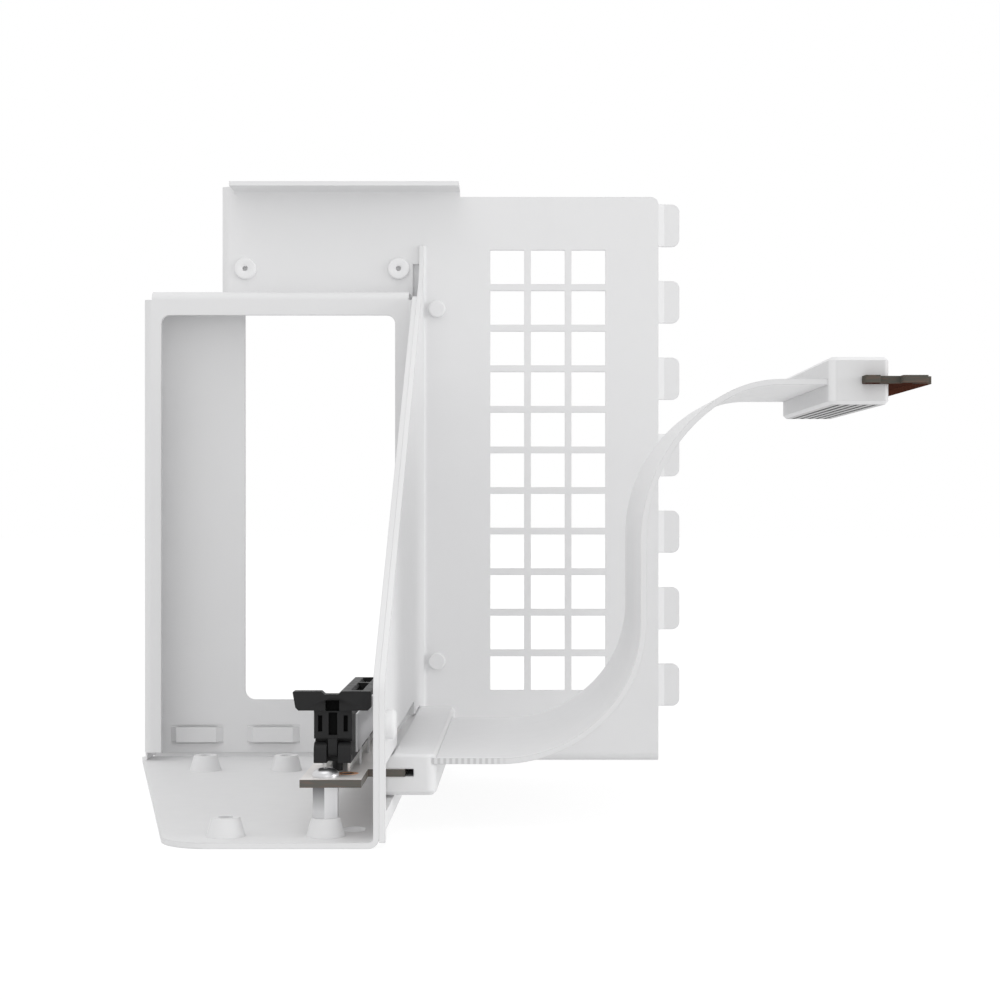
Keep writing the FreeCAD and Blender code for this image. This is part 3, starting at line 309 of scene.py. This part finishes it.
def latch_cavities(shader):
    """Floors of the latch's groove, slots and recess, all set back behind its front face, masked
    for painted shade.
    """
    low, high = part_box("slot_latch")
    position = shader.axes(shader.place)
    normal = shader.axes(shader.facing)
    below_wings = shader.math("LESS_THAN", position[2], high[2] - LATCH_WING)
    between_wings = shader.both(
        shader.math("LESS_THAN", shader.math("ABSOLUTE", position[0]), RECESS_MASK),
        shader.math("LESS_THAN", position[2], RECESS_TOP),
    )
    return shader.both(
        shader.math("LESS_THAN", normal[1], -FACING),
        shader.math("GREATER_THAN", position[1], low[1] + LATCH_FACE),
        shader.math("MAXIMUM", below_wings, between_wings),
    )


def plated(name, colour, rough=0.3, stretch=(1, 1, 6), edge=0.1 * MM):
    """Plated metal with faint brushing."""
    shader = Shader(name, edge)
    shader.surface.inputs["Metallic"].default_value = 1.0
    brushing = shader.noise(1.5 * MM, detail=3.0, stretch=stretch)
    shader.colour(shader.mix(brushing, shade(colour, 0.93), colour))
    streaks = shader.noise(1 * MM, detail=3.0, stretch=stretch)
    shader.roughness(shader.spread(streaks, low=rough - 0.04, high=rough + 0.06))
    shader.bump(shader.noise(0.4 * MM, stretch=stretch), depth=0.004 * MM, strength=0.3)
    return shader.material


BAR_GRAIN = (1, 1, 0.1)
BAR_LEFT = -0.3
BAR_BRIGHT_FOOT = 4 * MM


def spacer_metal(name, bright, painted_dark):
    """Hexagonal bar: its left faces are darker as painted shade, turning into a painted dark
    reflection near the board.
    """
    low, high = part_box("board_standoffs")
    shader = Shader(name)
    shader.surface.inputs["Metallic"].default_value = 0.85
    position = shader.axes(shader.place)
    normal = shader.axes(shader.facing)
    # Left faces darker, more so towards the top: painted shade and a painted dark reflection.
    left = shader.math("LESS_THAN", normal[0], BAR_LEFT)
    foot = low[2] + BAR_BRIGHT_FOOT
    rise = shader.spread(position[2], low=0.0, high=1.0, start=foot, end=high[2])
    face = shader.mix(shader.both(left, rise), shade(bright, 0.8), painted_dark)
    shader.colour(shader.mix(left, bright, face))
    streaks = shader.noise(1 * MM, detail=3.0, stretch=BAR_GRAIN)
    shader.roughness(shader.spread(streaks, low=0.30, high=0.38))
    shader.bump(shader.noise(0.5 * MM, stretch=BAR_GRAIN), depth=0.002 * MM, strength=0.2)
    return shader.material


def plated_fingers(name, gold, painted_dark):
    """Contact fingers: bright gold on top; underneath, dark brown without metal, a painted dark
    reflection and shade in place of the gold.
    """
    low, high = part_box("edge_pads")
    shader = Shader(name)
    height = shader.axes(shader.place)[2]
    # Lower half of the fingers: painted dark reflection and shade.
    lower = shader.math("LESS_THAN", height, (low[2] + high[2]) / 2)
    metal = shader.spread(lower, low=1.0, high=0.0, start=0.0, end=1.0)
    shader.surface.inputs["Specular IOR Level"].default_value = 0.0
    shader.link(metal, shader.surface.inputs["Metallic"])
    shader.colour(shader.mix(lower, shader.tone(gold, 2 * MM, low=0.94, high=1.04), painted_dark))
    shader.roughness(shader.spread(shader.noise(1 * MM), low=0.28, high=0.36))
    shader.bump(shader.noise(0.4 * MM), depth=0.004 * MM, strength=0.3)
    return shader.material


def circuit_board(name, top, under, gloss=0.4):
    """Printed board: solder mask on both faces, bare laminate with fibre layers on the edges."""
    shader = Shader(name)
    shader.surface.inputs["Specular IOR Level"].default_value = gloss
    normal = shader.axes(shader.facing)
    upper = shader.math("GREATER_THAN", normal[2], FACING)
    lower = shader.math("LESS_THAN", normal[2], -FACING)
    layers = shader.noise(2.5 * MM, detail=4.0, stretch=(1, 1, 9))
    layers = shader.spread(layers, low=0.0, high=1.0, start=0.48, end=0.75)
    fibres = shader.mix(layers, LAMINATE, WARM_LAMINATE)
    faces = shader.mix(upper, fibres, shader.tone(top, 3 * MM, low=0.97, high=1.02))
    shader.colour(shader.mix(lower, faces, shader.tone(under, 3 * MM, low=0.9, high=1.1)))
    shader.roughness(shader.spread(shader.noise(2 * MM), low=0.34, high=0.46))
    shader.bump(shader.noise(0.7 * MM, detail=3.0), depth=0.01 * MM, strength=0.4)
    return shader.material


BEAD_PITCH = 1.25 * MM
RIB_PITCH = 1.27 * MM
BEADED_RUN = 15 * MM
BEADED_END = 19 * MM
BORDER_FROM = 1.3 * MM
BORDER_FULL = 0.9 * MM
SIDE_SKIN = 0.05 * MM


def flat_cable(name, colour):
    """Cable jacket: soft ribs along its run, smooth borders with a painted highlight, painted
    shade on its sides, and beads on its edges drawn as painted shade in their valleys.
    """
    low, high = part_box("ribbon_cable")
    half = (high[1] - low[1]) / 2
    shader = Shader(name, edge=0.2 * MM)
    position = shader.axes(shader.place)
    x = position[0]
    y = position[1]
    off_middle = shader.math("ABSOLUTE", shader.math("SUBTRACT", y, (low[1] + high[1]) / 2))
    border = shader.spread(off_middle, 0.0, 1.0, half - BORDER_FROM, half - BORDER_FULL)
    side = shader.math("GREATER_THAN", off_middle, half - SIDE_SKIN)
    straight = shader.spread(x, 1.0, 0.0, low[0] + BEADED_RUN, low[0] + BEADED_END)
    wave = shader.math("SINE", shader.math("MULTIPLY", x, 2 * math.pi / BEAD_PITCH))
    valleys = shader.spread(wave, low=1.0, high=0.0, start=-0.7, end=0.5)
    bead_valley_shade = shader.both(valleys, side, straight)
    jacket = shader.tone(colour, 8 * MM, low=0.985, high=1.01)
    # Borders lighter: painted highlight.
    faces = shader.mix(border, jacket, shade(colour, 1.04))
    # Side faces darker: painted shade.
    edges = shader.mix(side, faces, shade(colour, 0.92))
    # Valleys between the beads darker: painted shade.
    shader.colour(shader.mix(bead_valley_shade, edges, shade(colour, 0.72)))
    shader.roughness(shader.spread(shader.noise(3 * MM), low=0.5, high=0.6))
    ribs = shader.math("SINE", shader.math("MULTIPLY", y, 2 * math.pi / RIB_PITCH))
    ribs = shader.spread(ribs, low=0.0, high=1.0, start=-1.0, end=1.0)
    relief = shader.both(ribs, shader.math("SUBTRACT", 1.0, border))
    grain = shader.math("MULTIPLY", shader.noise(0.5 * MM, detail=3.0), 0.5)
    shader.bump(shader.math("ADD", relief, grain), depth=0.015 * MM, strength=0.35)
    return shader.material


FINISHES = {
    "rear_plate": powder_coat("coat_plate", WHITE),
    # The frame's coat is a slightly darker copy of the plate's white: painted shade.
    "card_frame": powder_coat("coat_frame", shade(WHITE, 0.97)),
    "window_panel": powder_coat("coat_panel", WHITE),
    "card_ledge": powder_coat("coat_ledge", WHITE),
    "clamp_nut": plated("zinc_nut", (0.62, 0.62, 0.63)),
    # The spacers' second colour is the painted dark reflection and shade on their left faces.
    "board_standoffs": spacer_metal("nickel_spacers", (0.72, 0.72, 0.73), (0.13, 0.13, 0.135)),
    "riser_board": circuit_board("board_white", MASK_WHITE, MASK_UNDER_SHADED),
    "ground_ring": plated("copper_ring", (0.95, 0.50, 0.26), rough=0.42),
    "card_slot": black_moulding("slot_plastic", BLACK),
    "slot_contacts": plated("tin_legs", (0.90, 0.90, 0.89)),
    "slot_shield": plated("steel_sleeve", (0.72, 0.72, 0.73), rough=0.38, stretch=(1, 6, 1)),
    "slot_latch": black_moulding("latch_plastic", BLACK, latch_cavities),
    "near_housing": moulded("housing_white", WHITE, edge=0.6 * MM),
    "ribbon_cable": flat_cable("cable_jacket", WHITE),
    # The far housing's white is a darker copy, painted shade, and its groove grey is painted shade
    # in the recesses.
    "far_housing": grooved_moulding("far_housing_white", shade(WHITE, 0.90), (0.16, 0.16, 0.16)),
    "edge_board": circuit_board("board_brown", MASK_BROWN, MASK_BROWN, gloss=0.0),
    "edge_pads": plated_fingers("gold_fingers", GOLD, FINGERS_PAINTED_DARK),
}


def dress(node, material):
    """Gives a CAD node its finished material."""
    obj = NODES[node]
    obj.data.materials.clear()
    obj.data.materials.append(material)


for node_name, finish in FINISHES.items():
    dress(node_name, finish)


# Fasteners, turned and recessed

TURN_STEPS = 64
ARC_STEPS = 8
CREASE = math.radians(38)
RIVET_R = 1.6 * MM
SCREW_R = 1.5 * MM
SHEETS = 2.4 * MM
TAIL = 1.4 * MM
TAIL_SHARE = 0.8
HOLE_CHAMFER = 0.12 * MM
HOLE_MOUTH = 1.25
HOLE_FLOOR = 0.9
TIP_CHAMFER = 0.3 * MM
CUTTER_TAPER = 0.6


def turned(profile):
    """Mesh of revolution about Z through (radius, height) points, from the axis to the axis."""
    mesh = bmesh.new()
    rings = []
    for radius, height in profile:
        count = TURN_STEPS if radius > 0 else 1
        ring = []
        for i in range(count):
            a = 2 * math.pi * i / count
            ring.append(mesh.verts.new((radius * math.cos(a), radius * math.sin(a), height)))
        rings.append(ring)
    for lower, upper in zip(rings, rings[1:]):
        for i in range(TURN_STEPS):
            j = i + 1
            corners = [
                lower[i % len(lower)],
                lower[j % len(lower)],
                upper[j % len(upper)],
                upper[i % len(upper)],
            ]
            mesh.faces.new(list(dict.fromkeys(corners)))
    bmesh.ops.recalc_face_normals(mesh, faces=mesh.faces)
    data = stored(mesh, "turned")
    smoothed(data, CREASE)
    return data


def riveted_tail(head_r):
    """The formed tail behind the sheets, and the shank through them."""
    tail_r = TAIL_SHARE * head_r
    end = -SHEETS - TAIL
    return [(0, end), (tail_r, end), (tail_r, -SHEETS), (RIVET_R, -SHEETS), (RIVET_R, 0)]


def shoulder(radius, height, rim, top):
    """Rounded edge of a head, from its rim up and in to the radius of its flat top."""
    points = [(radius, 0.0)]
    for i in range(ARC_STEPS + 1):
        a = math.pi / 2 * i / ARC_STEPS
        points.append((top + (radius - top) * math.cos(a), rim + (height - rim) * math.sin(a)))
    return points


def rivet_profile(head_r, head, rim, top, hole, depth):
    """Rivet from its formed tail to its head, with a round hole in the middle of the head."""
    mouth = [
        (HOLE_MOUTH * hole, head),
        (hole, head - HOLE_CHAMFER),
        (HOLE_FLOOR * hole, head - depth),
        (0, head - depth),
    ]
    return riveted_tail(head_r) + shoulder(head_r, head, rim, top) + mouth


def stud_profile(head_r, head, rim, top):
    """Stud from its formed tail to its closed head."""
    return riveted_tail(head_r) + shoulder(head_r, head, rim, top) + [(0, head)]


def screw_profile(head_r, head, rim, top, length):
    """Pan-head screw from the tip of its shank to its head, flat inside the radius top."""
    shank = [
        (0, -length),
        (SCREW_R - TIP_CHAMFER, -length),
        (SCREW_R, -length + TIP_CHAMFER),
        (SCREW_R, 0),
    ]
    return shank + shoulder(head_r, head, rim, top) + [(0, head)]


def cross_cutter(arm, half, top, depth):
    """Tapered cross that cuts a driver recess down into a head."""
    mesh = bmesh.new()
    outline = []
    for turn in range(4):
        for u, v in ((arm, -half), (arm, half), (half, half)):
            a = math.pi / 2 * turn
            outline.append((u * math.cos(a) - v * math.sin(a), u * math.sin(a) + v * math.cos(a)))
    floor = [(CUTTER_TAPER * x, CUTTER_TAPER * y) for x, y in outline]
    upper = [mesh.verts.new((x, y, top)) for x, y in outline]
    lower = [mesh.verts.new((x, y, top - depth)) for x, y in floor]
    mesh.faces.new(upper)
    mesh.faces.new(lower[::-1])
    for i in range(len(outline)):
        j = (i + 1) % len(outline)
        mesh.faces.new([upper[j], upper[i], lower[i], lower[j]])
    bmesh.ops.recalc_face_normals(mesh, faces=mesh.faces)
    return stored(mesh, "cutter")


def recessed(data, cutter_data):
    """The first mesh with the second one cut out of it."""
    solid = placed("solid", data)
    cutter = placed("cutter", cutter_data)
    cut = solid.modifiers.new("recess", "BOOLEAN")
    cut.operation = "DIFFERENCE"
    cut.solver = "EXACT"
    cut.object = cutter
    bpy.context.view_layer.update()
    graph = bpy.context.evaluated_depsgraph_get()
    result = bpy.data.meshes.new_from_object(solid.evaluated_get(graph))
    for obj in (solid, cutter):
        bpy.data.objects.remove(obj)
    return result


def fasteners(name, node, data, seats, axis, material):
    """One piece with a copy of the mesh on each seat, in place of a CAD node."""
    turn = Vector((0, 0, 1)).rotation_difference(Vector(axis)).to_matrix().to_4x4()
    joined = bmesh.new()
    for seat in seats:
        copy = data.copy()
        copy.transform(Matrix.Translation(seat) @ turn)
        joined.from_mesh(copy)
    whole = stored(joined, name)
    smoothed(whole, CREASE)
    whole.materials.append(material)
    piece = placed(name, whole)
    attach(piece, "mount")
    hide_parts(node)


def pair_seats(node, across, radius, axis, seat):
    """Seats of two like fasteners that stand apart along one axis of their node's box."""
    low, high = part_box(node)
    first = (low + high) / 2
    first[axis] = seat
    second = first.copy()
    first[across] = low[across] + radius
    second[across] = high[across] - radius
    return [first, second]


def plate_rivets():
    """Two rivets with a hole in their heads, which face the front."""
    head_r = 2.9 * MM
    head = 0.9 * MM
    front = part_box("plate_rivets")[0][1]
    seats = pair_seats("plate_rivets", 0, head_r, 1, front + head)
    profile = rivet_profile(
        head_r, head, rim=0.35 * MM, top=2.45 * MM, hole=0.7 * MM, depth=1.6 * MM
    )
    # The rivets' coat is a lighter copy of the plate's white: painted highlight.
    coat = powder_coat("coat_rivets", shade(WHITE, 1.05), edge=0.0)
    fasteners("rivet_heads", "plate_rivets", turned(profile), seats, (0, -1, 0), coat)


def panel_studs():
    """Two studs, one above the other, whose heads face the front."""
    head_r = 2.25 * MM
    head = 1.3 * MM
    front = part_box("panel_studs")[0][1]
    seats = pair_seats("panel_studs", 2, head_r, 1, front + head)
    profile = stud_profile(head_r, head, rim=0.85 * MM, top=1.75 * MM)
    coat = powder_coat("coat_studs", WHITE, edge=0.0)
    fasteners("stud_heads", "panel_studs", turned(profile), seats, (0, -1, 0), coat)


def board_screws():
    """Two screws with a cross recess, whose heads face up."""
    head_r = 2.75 * MM
    head = 2.0 * MM
    low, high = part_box("board_screws")
    seats = pair_seats("board_screws", 1, head_r, 2, high[2] - head)
    length = high[2] - head - low[2]
    profile = screw_profile(head_r, head=1.9 * MM, rim=0.35 * MM, top=0.4 * MM, length=length)
    cutter = cross_cutter(arm=1.5 * MM, half=0.4 * MM, top=2.2 * MM, depth=1.5 * MM)
    data = recessed(turned(profile), cutter)
    steel = plated("zinc_screws", (0.66, 0.66, 0.67), rough=0.32, edge=0.0)
    fasteners("board_screw_pair", "board_screws", data, seats, (0, 0, 1), steel)


def clamp_screw():
    """One screw with a cross recess, whose head faces right."""
    head = 2.1 * MM
    low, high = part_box("clamp_screw")
    seat = (low + high) / 2
    seat[0] = high[0] - head
    head_r = (high[2] - low[2]) / 2
    length = seat[0] - low[0]
    profile = screw_profile(head_r, head, rim=1.2 * MM, top=1.7 * MM, length=length)
    cutter = cross_cutter(arm=1.5 * MM, half=0.4 * MM, top=2.3 * MM, depth=1.4 * MM)
    data = recessed(turned(profile), cutter)
    coat = powder_coat("coat_screw", WHITE, edge=0.0)
    fasteners("clamp_screw_head", "clamp_screw", data, [seat], (1, 0, 0), coat)


plate_rivets()
panel_studs()
board_screws()
clamp_screw()


# Hem behind the window panel, which closes the gaps round its straps and below it

SHEET = 1.2 * MM
HEM_GAP = 0.02 * MM
HEM_THICK = 0.4 * MM
HEM_LOW = 0.7 * MM
HEM_TOP = 11.5 * MM
HEM_INSET = 0.3 * MM
HEM_CORNER = 1.0 * MM
HEM_PAINTED_LIGHT = 1.1
SKIRT_LOW = 1.3 * MM
SKIRT_TOP = 3.25 * MM
SKIRT_AHEAD = 11.0 * MM
SLOT_PITCH = 20.32 * MM
CARD_SLOTS = 3
STRAP_FROM_GUSSET = 18.5 * MM
STRAP_WIDTH = 13.8 * MM
STRAP_LOW = 4.9 * MM
STRAP_HEIGHT = 4.0 * MM
STRAP_GAP = 0.4 * MM
STRIP_SETBACK = 0.12 * MM


def block(mesh, y, outline, depth):
    """Adds a prism with an outline of (x, z) corners, from y to y plus depth."""
    face = mesh.faces.new([mesh.verts.new((x, y, z)) for x, z in outline])
    grown = bmesh.ops.extrude_face_region(mesh, geom=[face])
    moved = [item for item in grown["geom"] if isinstance(item, bmesh.types.BMVert)]
    bmesh.ops.translate(mesh, verts=moved, vec=(0, depth, 0))


def rectangle(x0, x1, z0, z1):
    return [(x0, z0), (x1, z0), (x1, z1), (x0, z1)]


def hem_outline(left, right):
    """Hem seen from the front, with rounded lower corners."""
    outline = [(left, HEM_TOP), (right, HEM_TOP)]
    centre_z = HEM_LOW + HEM_CORNER
    for x, start in ((right - HEM_CORNER, 0), (left + HEM_CORNER, -90)):
        for i in range(ARC_STEPS + 1):
            a = math.radians(start - 90 * i / ARC_STEPS)
            outline.append((x + HEM_CORNER * math.cos(a), centre_z + HEM_CORNER * math.sin(a)))
    return outline


def panel_hem():
    """Thin sheet against the panel's back, with strips in the straps' gaps and a side skirt."""
    low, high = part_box("window_panel")
    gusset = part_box("card_frame")[1][0]
    back = high[1] + HEM_GAP
    left = low[0] + HEM_INSET
    mesh = bmesh.new()
    block(mesh, back, hem_outline(left, gusset - HEM_CORNER), HEM_THICK)
    skirt = rectangle(left, left + HEM_THICK, SKIRT_LOW, SKIRT_TOP)
    block(mesh, back - SKIRT_AHEAD, skirt, SKIRT_AHEAD)
    face = high[1] - SHEET + STRIP_SETBACK
    for i in range(CARD_SLOTS):
        middle = gusset - STRAP_FROM_GUSSET - i * SLOT_PITCH
        for z in (STRAP_LOW - STRAP_GAP, STRAP_LOW + STRAP_HEIGHT):
            strip = rectangle(middle - STRAP_WIDTH / 2, middle + STRAP_WIDTH / 2, z, z + STRAP_GAP)
            block(mesh, face, strip, back - face)
    bmesh.ops.recalc_face_normals(mesh, faces=mesh.faces)
    data = stored(mesh, "panel_hem")
    # The hem's coat is a lighter copy of the white: painted light in the shaded gaps.
    data.materials.append(powder_coat("coat_hem", shade(WHITE, HEM_PAINTED_LIGHT), edge=0.0))
    hem = placed("panel_hem", data)
    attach(hem, "mount")


panel_hem()


# Latch with the recess between its wings

WELD = 0.001 * MM
TOOL_AHEAD = 1 * MM
LATCH_CREASE = math.radians(12)


def latch_lever():
    """A copy of the latch with a recess cut into its face, in place of the CAD node."""
    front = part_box("slot_latch")[0][1]
    solid = bmesh.new()
    solid.from_mesh(NODES["slot_latch"].data)
    bmesh.ops.remove_doubles(solid, verts=solid.verts, dist=WELD)
    tool = bmesh.new()
    opening = rectangle(-RECESS_HALF, RECESS_HALF, RECESS_LOW, RECESS_TOP)
    block(tool, front - TOOL_AHEAD, opening, TOOL_AHEAD + RECESS_DEEP)
    bmesh.ops.recalc_face_normals(tool, faces=tool.faces)
    carved = recessed(stored(solid, "lever"), stored(tool, "lever_tool"))
    smoothed(carved, LATCH_CREASE)
    carved.materials.clear()
    carved.materials.append(FINISHES["slot_latch"])
    lever = placed("latch_lever", carved)
    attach(lever, "latch")
    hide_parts("slot_latch")


latch_lever()


# Camera: one vanishing point, found from the edges that run away from the viewer

CAMERA_PLACE = (42.1 * MM, -473.2 * MM, 70.2 * MM)
FOCAL_PX = 2100
SENSOR = 36.0
FRAME_PX = 1000
VANISHING_PX = (540, 496)
CLIP_NEAR = 0.01
CLIP_FAR = 20


def make_camera():
    """A level camera, shifted so that the vanishing point lies where it was measured."""
    data = bpy.data.cameras.new("camera")
    data.sensor_width = SENSOR
    data.lens = FOCAL_PX * SENSOR / FRAME_PX
    data.shift_x = 0.5 - VANISHING_PX[0] / FRAME_PX
    data.shift_y = VANISHING_PX[1] / FRAME_PX - 0.5
    data.clip_start = CLIP_NEAR
    data.clip_end = CLIP_FAR
    camera = placed("camera", data)
    camera.location = CAMERA_PLACE
    camera.rotation_euler = (math.radians(90), 0, 0)
    bpy.context.scene.camera = camera


# Stage and light

FLOOR_REACH = 3.0
FLOOR_DROP = 0.05 * MM
FLOOR_COLOUR = (0.45, 0.45, 0.45, 1)
FLOOR_RETURN = 0.36
FLOOR_SHARE = (0.20, 0.20, 0.20, 1)
FLOOR_GLOW = 0.85
WORLD_COLOUR = (1, 1, 1, 1)
WORLD_LIGHT = 0.88

LAMPS = {
    "front": {"place": (0.5, -1.8, 0.0), "size": 1.3, "power": 3.2},
    "side": {"place": (1.7, -0.4, 0.2), "size": 1.0, "power": 9.0},
    "top": {"place": (-0.2, -0.6, 1.9), "size": 1.6, "power": 4.5},
}


def seen_directly(tree):
    """1 for the rays that should find a white background: camera, glossy and transmission."""
    path = tree.nodes.new("ShaderNodeLightPath")
    result = path.outputs["Is Camera Ray"]
    for name in ("Is Glossy Ray", "Is Transmission Ray"):
        either = tree.nodes.new("ShaderNodeMath")
        either.operation = "MAXIMUM"
        tree.links.new(result, either.inputs[0])
        tree.links.new(path.outputs[name], either.inputs[1])
        result = either.outputs[0]
    return result


def glowing_sheet(tree, colour, glow):
    """Matt surface with an even glow of its own, as a sheet lit from below has."""
    matt = tree.nodes.new("ShaderNodeBsdfDiffuse")
    matt.inputs["Color"].default_value = colour
    light = tree.nodes.new("ShaderNodeEmission")
    light.inputs["Strength"].default_value = glow
    both = tree.nodes.new("ShaderNodeAddShader")
    tree.links.new(matt.outputs[0], both.inputs[0])
    tree.links.new(light.outputs[0], both.inputs[1])
    return both.outputs[0]


def by_ray(tree, returned, shown, output):
    """Shows one shader to the rays that see it directly, and returns light with the other."""
    mix = tree.nodes.new("ShaderNodeMixShader")
    tree.links.new(seen_directly(tree), mix.inputs["Fac"])
    tree.links.new(returned, mix.inputs[1])
    tree.links.new(shown, mix.inputs[2])
    tree.links.new(mix.outputs[0], output.inputs["Surface"])


def floor_material():
    """White for the camera, with the object's soft shadow, and grey for the light it returns."""
    material = bpy.data.materials.new("floor_white")
    material.use_nodes = True
    tree = material.node_tree
    tree.nodes.clear()
    output = tree.nodes.new("ShaderNodeOutputMaterial")
    returned = glowing_sheet(tree, FLOOR_COLOUR, FLOOR_RETURN)
    shown = glowing_sheet(tree, FLOOR_SHARE, FLOOR_GLOW)
    by_ray(tree, returned, shown, output)
    return material


def make_floor():
    """A flat floor just below the object."""
    mesh = bpy.data.meshes.new("floor")
    reach = FLOOR_REACH
    corners = [(-reach, -reach, 0), (reach, -reach, 0), (reach, reach, 0), (-reach, reach, 0)]
    mesh.from_pydata(corners, [], [(0, 1, 2, 3)])
    mesh.materials.append(floor_material())
    floor = placed("floor", mesh)
    floor.location = (0, 0, -FLOOR_DROP)


def make_world():
    """Even studio light from all round, on a white background."""
    world = bpy.data.worlds.new("studio")
    world.use_nodes = True
    tree = world.node_tree
    tree.nodes.clear()
    output = tree.nodes.new("ShaderNodeOutputWorld")
    light = tree.nodes.new("ShaderNodeBackground")
    light.inputs["Color"].default_value = WORLD_COLOUR
    light.inputs["Strength"].default_value = WORLD_LIGHT
    seen = tree.nodes.new("ShaderNodeBackground")
    seen.inputs["Color"].default_value = WORLD_COLOUR
    by_ray(tree, light.outputs[0], seen.outputs[0], output)
    bpy.context.scene.world = world


def add_lamp(name, target, place, size, power):
    """A round area lamp that faces the target."""
    data = bpy.data.lights.new(name, "AREA")
    data.shape = "DISK"
    data.size = size
    data.energy = power
    lamp = placed(name, data)
    lamp.location = place
    lamp.rotation_euler = (Vector(target) - Vector(place)).to_track_quat("-Z", "Y").to_euler()


make_camera()
make_floor()
make_world()
for lamp_name, lamp_values in LAMPS.items():
    add_lamp(lamp_name, (cad_low + cad_high) / 2, **lamp_values)

bpy.context.scene.view_settings.view_transform = "Standard"
